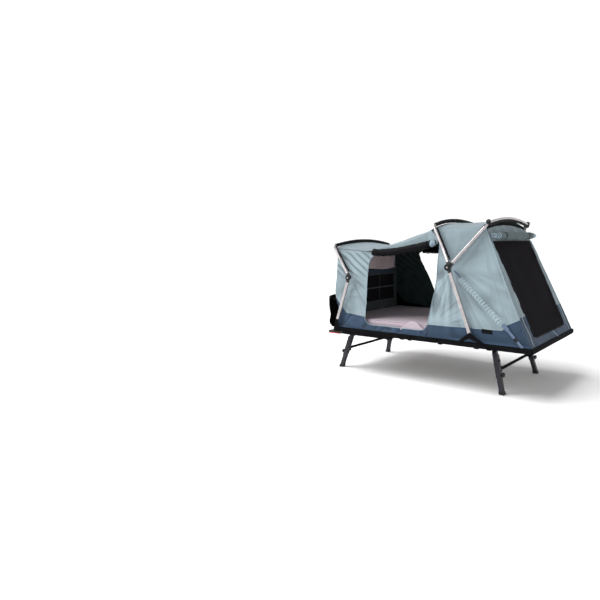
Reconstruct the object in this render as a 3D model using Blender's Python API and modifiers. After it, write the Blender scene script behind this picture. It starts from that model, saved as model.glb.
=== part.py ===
"""Hitch tent: a folding platform with a mattress, two pairs of legs and a fabric canopy on three bows.

X runs along the platform, away from the towing vehicle. The viewer's side is -Y and Z is up.
Stations are lengths along the platform from its tow end, in metres. Heights are above the ground.
The model stands on the ground with its origin under the middle of its bounding box.
"""

import math

import bmesh
import bpy
from mathutils import Matrix, Vector

# Platform
PLATFORM_LENGTH = 2.360
TOW_LENGTH = 1.068
SPINE_LENGTH = 0.311
SECTION_GAP = 0.004
RAIL_BOTTOM = 0.495
RAIL_HEIGHT = 0.050
RAIL_WIDTH = 0.062
RAIL_ROUNDING = 0.006
CROSS_WIDTH = 0.060
DECK_THICKNESS = 0.018
DECK_INSET = 0.034
JOIN = 0.002
MATTRESS_THICKNESS = 0.108
MATTRESS_WIDTH = 1.400
MATTRESS_INSET = 0.074
MATTRESS_CROWN = 0.006
MATTRESS_TOW_END = 0.055
MATTRESS_REAR_END = 2.270
PAD_SIZE = (0.045, 0.022, 0.012)
TOW_PADS = (0.946, 1.040)
OUTER_PADS = (1.407, 1.803, 1.932)

# Fold hinges between the platform sections
LEAF_LENGTH = 0.095
LEAF_THICKNESS = 0.007
LEAF_EYE = 0.018
LEAF_CLEARANCE = 0.013
HINGE_PIN_RADIUS = 0.006

# Chassis and hitch
HITCH_REACH = 0.500
TONGUE_SIZE = 0.050
TONGUE_WALL = 0.005
TONGUE_END = 0.220
HITCH_PIN_HOLE = 0.008
HITCH_PIN_STATION = -0.440
CHASSIS_BOTTOM = 0.470
CHASSIS_FRONT = -0.060
CHASSIS_LENGTH = 0.860
CHASSIS_CROSS_STATIONS = (0.020, 0.190, 0.770)
CHASSIS_INNER_INSET = 0.474
CHASSIS_CROSS_WIDTH = 0.050
CRADLE_THICKNESS = 0.006
CRADLE_LENGTH = 0.045

# Cover and lamps at the tow end
COVER_THICKNESS = 0.006
COVER_TOP = 0.925
COVER_BULGE = 0.118
COVER_INSET = 0.004
FOLDS_THICKNESS = 0.060
FOLDS_INSET = 0.084
FOLDS_TOP = 0.905
LAMP_LENGTH = 0.215
LAMP_DEPTH = 0.130
LAMP_HEIGHT = 0.022
LAMP_FRONT = -0.078
LAMP_BAR_DEPTH = 0.070
LENS_HEIGHT = 0.011
LENS_INSET = 0.008

# Legs
LEG_PIVOT_HEIGHT = 0.435
TOW_LEG_PIVOT = 0.093
OUTER_LEG_PIVOT = 1.905
LEG_INSET = 0.278
LEG_SPLAY_X = 0.113
LEG_SPLAY_Y = 0.068
LEG_HEAD = (0.044, 0.050)
LEG_HEAD_HEIGHT = 0.055
UPPER_LEG = (0.050, 0.060)
LEG_WALL = 0.003
UPPER_LEG_BOTTOM = 0.160
LEG_CAVITY_TOP = 0.385
LOWER_LEG_PLAY = 0.0005
FOOT_HEIGHT = 0.035
FOOT_MARGIN = 0.004
CROSSBAR_HEIGHT = 0.242
CROSSBAR_SIZE = (0.018, 0.030)
GUSSET_SIZE = (0.052, 0.005, 0.075)
LEG_BRACKET_THICKNESS = 0.006
LEG_PIN_RADIUS = 0.007
KNOB_HEIGHT = 0.200
KNOB_RADIUS = 0.024
KNOB_DEPTH = 0.018
KNOB_BOSS_RADIUS = 0.011
KNOB_BOSS_DEPTH = 0.010

# Canopy frame: station and height of each pivot and corner
TOW_FOOT = (0.054, 0.627)
TOW_HUB = (0.228, 1.161)
FRONT_CORNER = (-0.061, 1.540)
OUTER_FOOT = (1.740, 0.627)
OUTER_HUB = (1.490, 1.312)
MID_CORNER = (1.265, 1.753)
REAR_CORNER = (1.851, 1.762)
FRONT_RISE = 0.065
MID_RISE = 0.070
REAR_RISE = 0.061
MID_APEX_SHIFT = -0.039
FRONT_CORNER_INSET = 0.096
MID_CORNER_INSET = 0.122
REAR_CORNER_INSET = 0.152
POLE_WIDTH = 0.034
POLE_THICKNESS = 0.020
POLE_ROUNDING = 0.007
BOW_TUBE_RADIUS = 0.0135
CORNER_BEND = 0.055
LAYER_GAP = 0.001
BOW_GAP = 0.003
SOCKET_LENGTH = 0.060
SOCKET_LAP = 0.012
MID_KNEE = 0.220
HUB_RADIUS = 0.036
HUB_DEPTH = 0.012
HUB_SHAFT_RADIUS = 0.007
HUB_NUT_RADIUS = 0.013
HUB_NUT_DEPTH = 0.006
HUB_CAP_DEPTH = 0.005
BRACKET_THICKNESS = 0.006
BRACKET_EYE = 0.021
BRACKET_FOOT = 0.512
TOW_BRACKET_HALF = 0.035
OUTER_BRACKET_LEFT = 1.612
OUTER_BRACKET_RIGHT = 1.918
OUTER_BRACKET_STRIP = 0.034
BRACKET_BOLT_RADIUS = 0.010
BRACKET_BOLT_DEPTH = 0.005

# Fabric
CLOTH = 0.004
HEM_INSET = 0.0275
WAIST_HEIGHT = 1.200
WAIST_INSET = 0.0485
SEAM_HEIGHT = 0.696
SEAM_GAP = 0.001
ROOF_SEAT = 0.0052
TOW_WALL = 0.042
TOW_WALL_SEAM = 0.900
TOW_FLARE_DROP = 0.142
DOOR_LEFT = 0.478
DOOR_RIGHT_LOW = 1.250
DOOR_RIGHT_HIGH = 1.330
DOOR_SILL = 0.612
DOOR_SILL_START = 0.575
DOOR_SILL_END = 1.180
REAR_FOOT = 2.345
REAR_LEAN = 0.4456
REAR_TOP = 1.700
FRONT_EAVE = 1.522
VALLEY_STATION = 0.420
VALLEY_EAVE = 1.480
VALLEY_RIDGE = 1.520
VALLEY_INSET = 0.134
ROOF_CLEARANCE = 0.020
ROOF_COLUMNS = 10
MID_LAP = 0.040
DOOR_CURVE = 0.040
DOOR_ROLL_SEAT = 0.0045
DOOR_TOP = 1.600
PUCKER_DEPTH = 0.0045
TOW_PUCKER_REACH = 0.460
OUTER_PUCKER_REACH = 0.620
WINDOW_LOW = 0.625
WINDOW_HIGH = 1.570
WINDOW_LOW_INSET = 0.229
WINDOW_HIGH_INSET = 0.199
WINDOW_CORNER = 0.060
WINDOW_GAP = 0.0005
ROLL_RADIUS = 0.046
ROLL_INSET = 0.114
ROLL_HEIGHT = 1.612
DOOR_ROLL_RADIUS = 0.050
DOOR_ROLL_LEFT = (0.560, 1.455)
DOOR_ROLL_RIGHT = (1.285, 1.570)
DOOR_ROLL_SAG = 0.018
DOOR_ROLL_INSET = 0.142
STRAP_WIDTH = 0.026
STRAP_THICKNESS = 0.002
STRAP_TOP = (2.095, 0.716)
STRAP_FOOT = 2.262
STRAP_CLEARANCE = 0.003
BUCKLE_SIZE = (0.040, 0.006, 0.030)
ORGANISER_LOW = 0.790
ORGANISER_HIGH = 1.220
ORGANISER_INSET = 0.214
ORGANISER_DEPTH = 0.030

CLEAR = 0.0003
ROUND_SIDES = 16
SMALL_SIDES = 10

# Derived sizes
CENTRE_STATION = (PLATFORM_LENGTH - HITCH_REACH) / 2
PLATFORM_WIDTH = MATTRESS_WIDTH + 2 * MATTRESS_INSET
HALF_WIDTH = PLATFORM_WIDTH / 2
MATTRESS_HALF_WIDTH = MATTRESS_WIDTH / 2
CHASSIS_INNER_Y = HALF_WIDTH - CHASSIS_INNER_INSET
COVER_HALF_WIDTH = HALF_WIDTH - COVER_INSET
FOLDS_HALF_WIDTH = HALF_WIDTH - FOLDS_INSET
LEG_PIVOT_Y = HALF_WIDTH - LEG_INSET
FRONT_CORNER_Y = HALF_WIDTH - FRONT_CORNER_INSET
MID_CORNER_Y = HALF_WIDTH - MID_CORNER_INSET
REAR_CORNER_Y = HALF_WIDTH - REAR_CORNER_INSET
HEM_HALF_WIDTH = HALF_WIDTH - HEM_INSET
WAIST_HALF_WIDTH = HEM_HALF_WIDTH - WAIST_INSET
WINDOW_HALF_LOW = HALF_WIDTH - WINDOW_LOW_INSET
WINDOW_HALF_HIGH = HALF_WIDTH - WINDOW_HIGH_INSET
ROLL_HALF_LENGTH = HALF_WIDTH - ROLL_INSET
DOOR_ROLL_Y = HALF_WIDTH - DOOR_ROLL_INSET
ORGANISER_HALF_WIDTH = HALF_WIDTH - ORGANISER_INSET
TOW_FLARE_HEIGHT = FRONT_EAVE - TOW_FLARE_DROP
RAIL_TOP = RAIL_BOTTOM + RAIL_HEIGHT
DECK_BOTTOM = RAIL_TOP + CLEAR
DECK_TOP = DECK_BOTTOM + DECK_THICKNESS
MATTRESS_BOTTOM = DECK_TOP + CLEAR
FOLD_HEIGHT = MATTRESS_BOTTOM + MATTRESS_THICKNESS
OUTER_START = TOW_LENGTH + SPINE_LENGTH
DECK_HALF_WIDTH = HALF_WIDTH - RAIL_WIDTH - CLEAR
POLE_Y = HALF_WIDTH - LAYER_GAP / 2 - POLE_THICKNESS / 2
FIRST_LAYER_Y = POLE_Y - POLE_THICKNESS - LAYER_GAP
HEM_HEIGHT = RAIL_TOP + 2 * CLEAR
REAR_SLANT = math.sqrt(1 + REAR_LEAN ** 2)
REAR_HEM = HEM_HEIGHT + CLOTH * REAR_LEAN / REAR_SLANT
REAR_LAP = CLOTH * REAR_SLANT + SEAM_GAP / 2
SECOND_LAYER_Y = FIRST_LAYER_Y - POLE_THICKNESS - BOW_GAP
REAR_BOW_LEAN = (FIRST_LAYER_Y - REAR_CORNER_Y) / (math.dist(OUTER_HUB, REAR_CORNER) - SOCKET_LENGTH + SOCKET_LAP)
MID_KNEE_Y = SECOND_LAYER_Y - REAR_BOW_LEAN * (MID_KNEE - SOCKET_LENGTH + SOCKET_LAP)
LOWER_LEG = tuple(side - 2 * (LEG_WALL + LOWER_LEG_PLAY) for side in UPPER_LEG)


def clear_scene():
    for ob in list(bpy.data.objects):
        bpy.data.objects.remove(ob)


clear_scene()
PARTS = bpy.data.collections.new("Hitch tent")
CUTTERS = bpy.data.collections.new("Cutters")
bpy.context.scene.collection.children.link(PARTS)
bpy.context.scene.collection.children.link(CUTTERS)


def place(station, y, height):
    """World position of a point given by its station, side position and height."""
    return Vector((station - CENTRE_STATION, y, height))


def principled(name, colour, roughness, metallic):
    material = bpy.data.materials.new(name)
    material.use_nodes = True
    shader = material.node_tree.nodes["Principled BSDF"]
    shader.inputs["Base Color"].default_value = (*colour, 1.0)
    shader.inputs["Roughness"].default_value = roughness
    shader.inputs["Metallic"].default_value = metallic
    material.diffuse_color = (*colour, 1.0)
    return material


LOOKS = {
    "black_metal": ((0.020, 0.020, 0.023), 0.45, 0.6),
    "dark_leg": ((0.065, 0.062, 0.080), 0.38, 0.8),
    "silver": ((0.620, 0.590, 0.600), 0.28, 1.0),
    "black_plastic": ((0.016, 0.016, 0.018), 0.5, 0.0),
    "black_cloth": ((0.014, 0.014, 0.017), 0.85, 0.0),
    "red_lens": ((0.550, 0.020, 0.025), 0.2, 0.0),
    "plywood": ((0.120, 0.100, 0.085), 0.7, 0.0),
    "mattress": ((0.420, 0.370, 0.400), 0.9, 0.0),
    "light_cloth": ((0.290, 0.390, 0.450), 0.8, 0.0),
    "dark_cloth": ((0.050, 0.100, 0.190), 0.8, 0.0),
    "roll_cloth": ((0.110, 0.160, 0.165), 0.85, 0.0),
    "webbing": ((0.170, 0.270, 0.460), 0.75, 0.0),
}


class Piece:
    """One sub-part with one material: closed bodies, joined by a union where there are several."""

    def __init__(self, name, look):
        self.name = name
        self.look = look
        self.bodies = []

    def box(self, low, high, rounding=0.0):
        """A box between two corners given as (station, y, height)."""
        bm = bmesh.new()
        a = place(*low)
        b = place(*high)
        turn = Matrix.Translation((a + b) / 2) @ Matrix.Diagonal((*(b - a), 1.0))
        bmesh.ops.create_cube(bm, size=1.0, matrix=turn)
        if rounding:
            bmesh.ops.bevel(bm, geom=bm.edges[:], offset=rounding, segments=1, affect="EDGES", profile=0.5)
        self.bodies.append(bm)
        return self

    def bar(self, start, end, width, thickness, across, rounding=0.0):
        """A straight bar from start to end, with its thickness as close to across as it can lie."""
        bm = bmesh.new()
        axis = (end - start).normalized()
        thick_dir = (across - axis * across.dot(axis)).normalized()
        wide_dir = thick_dir.cross(axis)
        length = (end - start).length
        frame = Matrix((wide_dir * width, thick_dir * thickness, axis * length)).transposed().to_4x4()
        frame.translation = (start + end) / 2
        bmesh.ops.create_cube(bm, size=1.0, matrix=frame)
        if rounding:
            long_edges = [e for e in bm.edges if abs((e.verts[0].co - e.verts[1].co).normalized().dot(axis)) > 0.99]
            bmesh.ops.bevel(bm, geom=long_edges, offset=rounding, segments=2, affect="EDGES", profile=0.5)
        self.bodies.append(bm)
        return self

    def prism(self, low, high, size_x, size_y):
        """A leaning post whose two ends are level: low and high are the centres of its ends."""
        bm = bmesh.new()
        bmesh.ops.create_cube(bm, size=1.0)
        for vert in bm.verts:
            centre = high if vert.co.z > 0 else low
            vert.co = centre + Vector((vert.co.x * size_x, vert.co.y * size_y, 0.0))
        self.bodies.append(bm)
        return self

    def disc(self, centre, axis, radius, depth, sides=ROUND_SIDES):
        """A cylinder about its centre, along axis."""
        bm = bmesh.new()
        turn = axis.to_track_quat("Z", "Y").to_matrix().to_4x4()
        turn.translation = centre
        bmesh.ops.create_cone(
            bm, cap_ends=True, segments=sides, radius1=radius, radius2=radius, depth=depth, matrix=turn
        )
        self.bodies.append(bm)
        return self

    def add(self, mesh, matrix=None):
        """Take in a finished mesh, then let go of that mesh."""
        if matrix is not None:
            mesh.transform(matrix)
        bm = bmesh.new()
        bm.from_mesh(mesh)
        bpy.data.meshes.remove(mesh)
        self.bodies.append(bm)
        return self

    def plate(self, outline, y_low, y_high, holes=()):
        """A flat plate square to Y, cut from an outline of (station, height) points, with holes."""
        return self.add(plate_mesh([outline, *holes], y_high - y_low, (y_low + y_high) / 2))

    def body_object(self, bm, name, collection):
        bmesh.ops.recalc_face_normals(bm, faces=bm.faces)
        mesh = bpy.data.meshes.new(name)
        bm.to_mesh(mesh)
        bm.free()
        ob = bpy.data.objects.new(name, mesh)
        collection.objects.link(ob)
        return ob

    def done(self, smooth=False):
        ob = self.body_object(self.bodies[0], self.name, PARTS)
        if len(self.bodies) > 1:
            others = bpy.data.collections.new(self.name + "_bodies")
            CUTTERS.children.link(others)
            for bm in self.bodies[1:]:
                hide(self.body_object(bm, self.name + "_body", others))
            union = ob.modifiers.new("union", "BOOLEAN")
            union.operation = "UNION"
            union.solver = "EXACT"
            union.operand_type = "COLLECTION"
            union.collection = others
        finish(ob, self.look, smooth)
        return ob

    def as_cutter(self):
        return hide(self.body_object(self.bodies[0], self.name, CUTTERS))


def hide(ob):
    ob.hide_render = True
    ob.display_type = "WIRE"
    return ob


def finish(ob, look, smooth=False):
    colour, roughness, metallic = LOOKS[look]
    ob.data.materials.clear()
    ob.data.materials.append(principled(ob.name, colour, roughness, metallic))
    if smooth:
        ob.data.shade_smooth()
        ob.data.set_sharp_from_angle(angle=math.radians(35))


def evaluated_mesh(ob):
    depsgraph = bpy.context.evaluated_depsgraph_get()
    return bpy.data.meshes.new_from_object(ob.evaluated_get(depsgraph))


def plate_mesh(splines, thickness, y):
    """Extrude flat outlines, the first one outer and the rest holes, into a plate square to Y."""
    curve = bpy.data.curves.new("outline", "CURVE")
    curve.dimensions = "2D"
    curve.fill_mode = "BOTH"
    curve.extrude = thickness / 2
    for points in splines:
        spline = curve.splines.new("POLY")
        spline.points.add(len(points) - 1)
        for point, (station, height) in zip(spline.points, points):
            point.co = (station - CENTRE_STATION, height, 0.0, 1.0)
        spline.use_cyclic_u = True
    ob = bpy.data.objects.new("outline", curve)
    PARTS.objects.link(ob)
    mesh = evaluated_mesh(ob)
    bpy.data.objects.remove(ob)
    bpy.data.curves.remove(curve)
    weld(mesh)
    mesh.transform(Matrix.Translation((0, y, 0)) @ Matrix.Rotation(math.radians(90), 4, "X"))
    return mesh


def weld(mesh):
    bm = bmesh.new()
    bm.from_mesh(mesh)
    bmesh.ops.remove_doubles(bm, verts=bm.verts, dist=0.00001)
    bmesh.ops.recalc_face_normals(bm, faces=bm.faces)
    bm.to_mesh(mesh)
    bm.free()


def circle(centre, radius, sides=ROUND_SIDES):
    """Points of a circle about (station, height)."""
    step = 2 * math.pi / sides
    return [(centre[0] + radius * math.cos(i * step), centre[1] + radius * math.sin(i * step)) for i in range(sides)]


def arc(centre, radius, start, end, count):
    """Points along an arc, angles in degrees."""
    points = []
    for i in range(count):
        angle = math.radians(start + (end - start) * i / (count - 1))
        points.append((centre[0] + radius * math.cos(angle), centre[1] + radius * math.sin(angle)))
    return points


def slot(start, end, radius, sides=8):
    """A long outline with round ends about two points."""
    direction = math.degrees(math.atan2(end[1] - start[1], end[0] - start[0]))
    return arc(end, radius, direction - 90, direction + 90, sides) + arc(start, radius, direction + 90, direction + 270, sides)


def cut(ob, cutters):
    """Take the cutters out of an object, and keep them as hidden guides."""
    for cutter in cutters:
        modifier = ob.modifiers.new("cut", "BOOLEAN")
        modifier.operation = "DIFFERENCE"
        modifier.solver = "EXACT"
        modifier.object = cutter


def mix(a, b, t):
    return a + (b - a) * t


def reading(table, x):
    """Straight-line reading of a table of (x, value) pairs."""
    if x <= table[0][0]:
        return table[0][1]
    for (x0, y0), (x1, y1) in zip(table, table[1:]):
        if x <= x1:
            return mix(y0, y1, (x - x0) / (x1 - x0))
    return table[-1][1]


# Joint empties

AXES = {}


def axis_empty(name, location):
    empty = bpy.data.objects.new(name, None)
    empty.empty_display_size = 0.08
    empty.location = location
    PARTS.objects.link(empty)
    AXES[name] = empty
    return empty


def hang(objects, axis_name):
    """Parent pieces to the empty on their joint's axis, without moving them."""
    empty = AXES[axis_name]
    for ob in objects:
        ob.parent = empty
        ob.matrix_parent_inverse = Matrix.Translation(-empty.location)


def make_axes():
    axis_empty("spine_fold_axis", place(TOW_LENGTH, 0, FOLD_HEIGHT))
    axis_empty("outer_fold_axis", place(OUTER_START, 0, FOLD_HEIGHT))
    axis_empty("tow_pole_axis", place(TOW_FOOT[0], 0, TOW_FOOT[1]))
    axis_empty("front_bow_axis", place(TOW_HUB[0], 0, TOW_HUB[1]))
    axis_empty("outer_pole_axis", place(OUTER_FOOT[0], 0, OUTER_FOOT[1]))
    axis_empty("mid_bow_axis", place(OUTER_HUB[0], 0, OUTER_HUB[1]))
    axis_empty("rear_bow_axis", place(OUTER_HUB[0], 0, OUTER_HUB[1]))
    axis_empty("tow_leg_axis", place(TOW_LEG_PIVOT, 0, LEG_PIVOT_HEIGHT))
    axis_empty("outer_leg_axis", place(OUTER_LEG_PIVOT, 0, LEG_PIVOT_HEIGHT))


# Platform

SECTIONS = {
    "tow": (0.0, TOW_LENGTH - SECTION_GAP / 2),
    "spine": (TOW_LENGTH + SECTION_GAP / 2, OUTER_START - SECTION_GAP / 2),
    "outer": (OUTER_START + SECTION_GAP / 2, PLATFORM_LENGTH),
}
LEG_CROSS = {"tow": TOW_LEG_PIVOT, "outer": OUTER_LEG_PIVOT}
PADS = {"tow": TOW_PADS, "spine": (), "outer": OUTER_PADS}


def make_rails(section):
    """The welded frame of one section: side rails, cross members, pads, hinge leaves and brackets."""
    start, end = SECTIONS[section]
    rails = Piece(section + "_rails", "black_metal")
    inner = HALF_WIDTH - RAIL_WIDTH
    for side in (-1, 1):
        y_low, y_high = sorted((side * inner, side * HALF_WIDTH))
        rails.box((start, y_low, RAIL_BOTTOM), (end, y_high, RAIL_TOP), RAIL_ROUNDING)
    crosses = [start, end - CROSS_WIDTH]
    if section in LEG_CROSS:
        crosses.append(LEG_CROSS[section] - CROSS_WIDTH / 2)
    reach = inner + RAIL_ROUNDING + JOIN
    for cross in crosses:
        rails.box(
            (cross, -reach, RAIL_BOTTOM + JOIN / 4), (cross + CROSS_WIDTH, reach, RAIL_TOP - JOIN / 4)
        )
    length, width, height = PAD_SIZE
    for station in PADS[section]:
        for side in (-1, 1):
            y = side * (HALF_WIDTH - RAIL_WIDTH / 2)
            rails.box(
                (station - length / 2, y - width / 2, RAIL_BOTTOM - height),
                (station + length / 2, y + width / 2, RAIL_BOTTOM + JOIN),
            )
    add_leaves(rails, section)
    if section in LEG_CROSS:
        add_leg_brackets(rails, LEG_CROSS[section])
    if section == "tow":
        add_tow_pole_brackets(rails)
    return rails.done()


def make_deck(section):
    start, end = SECTIONS[section]
    if section == "outer":
        end = PLATFORM_LENGTH - DECK_INSET
    if section == "tow":
        start = TOW_WALL + CLOTH + SEAM_GAP
    deck = Piece(section + "_deck", "plywood")
    deck.box((start, -DECK_HALF_WIDTH, DECK_BOTTOM), (end, DECK_HALF_WIDTH, DECK_TOP))
    return deck.done()


def make_mattress(section):
    """A third of the mattress, with a slightly crowned top and rounded edges."""
    start, end = SECTIONS[section]
    if section == "tow":
        start = MATTRESS_TOW_END
    if section == "outer":
        end = MATTRESS_REAR_END
    piece = Piece(section + "_mattress", "mattress")
    half = MATTRESS_HALF_WIDTH
    piece.box((start, -half, MATTRESS_BOTTOM), (end, half, FOLD_HEIGHT))
    bm = piece.bodies[0]
    bmesh.ops.subdivide_edges(bm, edges=bm.edges[:], cuts=5, use_grid_fill=True)
    middle = place((start + end) / 2, 0, 0)
    half_length = (end - start) / 2
    for vert in bm.verts:
        u = (vert.co.x - middle.x) / half_length
        v = vert.co.y / half
        w = (vert.co.z - MATTRESS_BOTTOM) / MATTRESS_THICKNESS
        edge = max(abs(u) ** 8, abs(v) ** 8)
        vert.co.z -= MATTRESS_CROWN * edge * w
        vert.co.y -= MATTRESS_CROWN * 0.5 * math.copysign(abs(v) ** 4 * (2 * w - 1) ** 2, v)
    return piece.done(smooth=True)


def eye_leaf(axis_station, away):
    """Outline of a hinge leaf: an upright plate on the rail, with a round eye about the fold axis."""
    axis = (axis_station, FOLD_HEIGHT)
    foot = RAIL_TOP - RAIL_ROUNDING - JOIN
    waist = FOLD_HEIGHT - LEAF_EYE * 2
    near = axis_station - SECTION_GAP - RAIL_ROUNDING
    far = axis_station - LEAF_LENGTH
    points = arc(axis, LEAF_EYE, -30, 110, 8)
    points += [(far, RAIL_TOP + RAIL_HEIGHT / 2), (far, foot), (near, foot), (near, waist)]
    if away > 0:
        points = [(2 * axis_station - station, height) for station, height in points]
    return points


def add_leaves(rails, section):
    """Upright hinge leaves on the side rails, beside the mattress; the outer ones carry the fold pins."""
    inner_y = MATTRESS_HALF_WIDTH + LEAF_CLEARANCE + LEAF_THICKNESS / 2
    outer_y = inner_y + LEAF_THICKNESS + LAYER_GAP
    ends = {
        "tow": [(TOW_LENGTH, -1, outer_y)],
        "spine": [(TOW_LENGTH, 1, inner_y), (OUTER_START, -1, inner_y)],
        "outer": [(OUTER_START, 1, outer_y)],
    }
    hole = circle((0.0, 0.0), HINGE_PIN_RADIUS + 2 * CLEAR, SMALL_SIDES)
    for axis_station, away, y in ends[section]:
        outline = eye_leaf(axis_station, away)
        axis = (axis_station, FOLD_HEIGHT)
        holes = [[(axis[0] + dx, axis[1] + dz) for dx, dz in hole]] if section == "spine" else []
        for side in (-1, 1):
            y_low, y_high = sorted((side * (y - LEAF_THICKNESS / 2), side * (y + LEAF_THICKNESS / 2)))
            rails.plate(outline, y_low, y_high, holes)
            if section != "spine":
                pin_low = inner_y - LEAF_THICKNESS / 2 - CLEAR
                pin_high = outer_y + LEAF_THICKNESS / 2 + JOIN
                rails.disc(
                    place(axis_station, side * (pin_low + pin_high) / 2, FOLD_HEIGHT), Vector((0, 1, 0)),
                    HINGE_PIN_RADIUS, pin_high - pin_low, SMALL_SIDES,
                )


# Chassis and hitch

def make_chassis():
    """The low welded frame under the tow section, with the cradles that hold the tongue."""
    piece = Piece("chassis_frame", "black_metal")
    top = RAIL_BOTTOM - CLEAR
    inner = HALF_WIDTH - RAIL_WIDTH
    end = CHASSIS_FRONT + CHASSIS_LENGTH
    start = LAMP_FRONT + LAMP_LENGTH + CLEAR
    half = CHASSIS_CROSS_WIDTH / 2
    first, second, third = CHASSIS_CROSS_STATIONS
    for side in (-1, 1):
        y_low, y_high = sorted((side * inner, side * HALF_WIDTH))
        piece.box((start, y_low, CHASSIS_BOTTOM), (end, y_high, top))
        y = side * CHASSIS_INNER_Y
        piece.box((first - half, y - half, CHASSIS_BOTTOM + JOIN), (second + half, y + half, top - JOIN / 2))
    for station in (second, third):
        piece.box((station - half, -inner - JOIN, CHASSIS_BOTTOM + JOIN / 2), (station + half, inner + JOIN, top - JOIN / 4))
    reach = CHASSIS_INNER_Y + half
    piece.box((first - half, -reach, CHASSIS_BOTTOM + JOIN / 2), (first + half, reach, top - JOIN / 4))
    tongue_top = CHASSIS_BOTTOM - CLEAR
    y_in = TONGUE_SIZE / 2 + CLEAR
    y_out = y_in + CRADLE_THICKNESS
    bottom = tongue_top - TONGUE_SIZE - CLEAR
    arm_top = CHASSIS_BOTTOM + 2 * JOIN
    section = [
        (-y_out, arm_top), (-y_in, arm_top), (-y_in, bottom), (y_in, bottom), (y_in, arm_top),
        (y_out, arm_top), (y_out, bottom - CRADLE_THICKNESS), (-y_out, bottom - CRADLE_THICKNESS),
    ]
    for station in (first, second):
        mesh = plate_mesh([[(y + CENTRE_STATION, z) for y, z in section]], CRADLE_LENGTH, 0.0)
        turn = Matrix.Translation(place(station, 0, 0)) @ Matrix.Rotation(math.radians(90), 4, "Z")
        piece.add(mesh, turn)
    return piece.done()


def make_tongue():
    """The square tube that enters the vehicle's receiver, open at both ends, with a cross hole for the pin."""
    top = CHASSIS_BOTTOM - CLEAR
    middle = top - TONGUE_SIZE / 2
    tongue = Piece("hitch_tongue", "black_metal")
    half = TONGUE_SIZE / 2
    tongue.box((-HITCH_REACH, -half, middle - half), (TONGUE_END, half, middle + half), 0.003)
    ob = tongue.done()
    bore = Piece("tongue_bore", "black_metal")
    inner = half - TONGUE_WALL
    bore.box((-HITCH_REACH - 0.01, -inner, middle - inner), (TONGUE_END + 0.01, inner, middle + inner))
    hole = Piece("tongue_pin_hole", "black_metal")
    hole.disc(place(HITCH_PIN_STATION, 0, middle), Vector((0, 1, 0)), HITCH_PIN_HOLE, 2 * TONGUE_SIZE, ROUND_SIDES)
    cut(ob, [bore.as_cutter(), hole.as_cutter()])
    return ob


def cover_curve(offset):
    """The side profile of the tow-end cover, offset inwards: it rises from the rails and bulges out."""
    points = []
    count = 9
    for i in range(count):
        t = i / (count - 1)
        height = mix(RAIL_TOP + 0.020, COVER_TOP, t)
        bulge = COVER_BULGE * math.sin(min(1.0, 0.28 + t * 0.95) * math.pi / 2) ** 1.2
        points.append((offset - bulge, height))
    return points


def make_cover():
    """A stiff curved sheet across the tow end, with a flange that lies on the rails."""
    foot = RAIL_TOP + CLEAR
    flange_end = TOW_WALL - 0.004
    outer = [(flange_end, foot), (-0.010, foot)] + cover_curve(0.0)
    inner = [(flange_end, foot + COVER_THICKNESS), (-0.006, foot + COVER_THICKNESS)] + cover_curve(COVER_THICKNESS)
    piece = Piece("tow_cover_sheet", "black_plastic")
    piece.plate(outer + inner[::-1], -COVER_HALF_WIDTH, COVER_HALF_WIDTH)
    return piece.done(smooth=True)


def make_cover_folds():
    """The travel cover, folded flat and standing behind the sheet on its flange."""
    low = RAIL_TOP + 2 * CLEAR + COVER_THICKNESS
    outer = [point for point in cover_curve(COVER_THICKNESS + 0.002) if low + 0.03 < point[1] < FOLDS_TOP - 0.01]
    top = (outer[-1][0] + FOLDS_THICKNESS / 2, FOLDS_TOP)
    outline = [(-0.002, low), (outer[0][0] + 0.010, outer[0][1] - 0.012)] + outer
    outline += arc(top, FOLDS_THICKNESS / 2, 180, 0, 7) + [(outer[-1][0] + FOLDS_THICKNESS, low + 0.10), (0.014, low)]
    piece = Piece("tow_cover_folds", "black_cloth")
    piece.plate(outline, -FOLDS_HALF_WIDTH, FOLDS_HALF_WIDTH)
    return piece.done(smooth=True)


def make_lamps():
    """The lamp bar across the tow edge, longer at its ends, with a red lens strip under each end."""
    bar = Piece("tail_lamp_bar", "black_plastic")
    top = RAIL_BOTTOM - CLEAR
    bottom = top - LAMP_HEIGHT
    end = LAMP_FRONT + LAMP_LENGTH
    bar.box(
        (LAMP_FRONT + JOIN, JOIN - HALF_WIDTH, bottom + JOIN),
        (LAMP_FRONT + LAMP_BAR_DEPTH, HALF_WIDTH - JOIN, top - JOIN / 4),
    )
    lenses = []
    for side, word in ((-1, "near"), (1, "far")):
        y_low, y_high = sorted((side * (COVER_HALF_WIDTH - LAMP_DEPTH), side * HALF_WIDTH))
        bar.box((LAMP_FRONT, y_low, bottom), (end, y_high, top), 0.004)
        y_low, y_high = sorted((side * (COVER_HALF_WIDTH - LAMP_DEPTH + LENS_INSET), side * (HALF_WIDTH - 0.002)))
        lens = Piece("tail_lamp_lens_" + word, "red_lens")
        lens.box(
            (LAMP_FRONT + LENS_INSET, y_low, bottom - CLEAR - LENS_HEIGHT),
            (end - 0.040, y_high, bottom - CLEAR), 0.003,
        )
        lenses.append(lens.done())
    return [bar.done(), *lenses]


# Legs

def leg_point(end, side, height):
    """Centre of a leg at a height: the legs lean outward from their pivots."""
    pivot, lean = (TOW_LEG_PIVOT, -1) if end == "tow" else (OUTER_LEG_PIVOT, 1)
    t = (LEG_PIVOT_HEIGHT - height) / LEG_PIVOT_HEIGHT
    return place(pivot + lean * LEG_SPLAY_X * t, side * (LEG_PIVOT_Y + LEG_SPLAY_Y * t), height)


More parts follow.
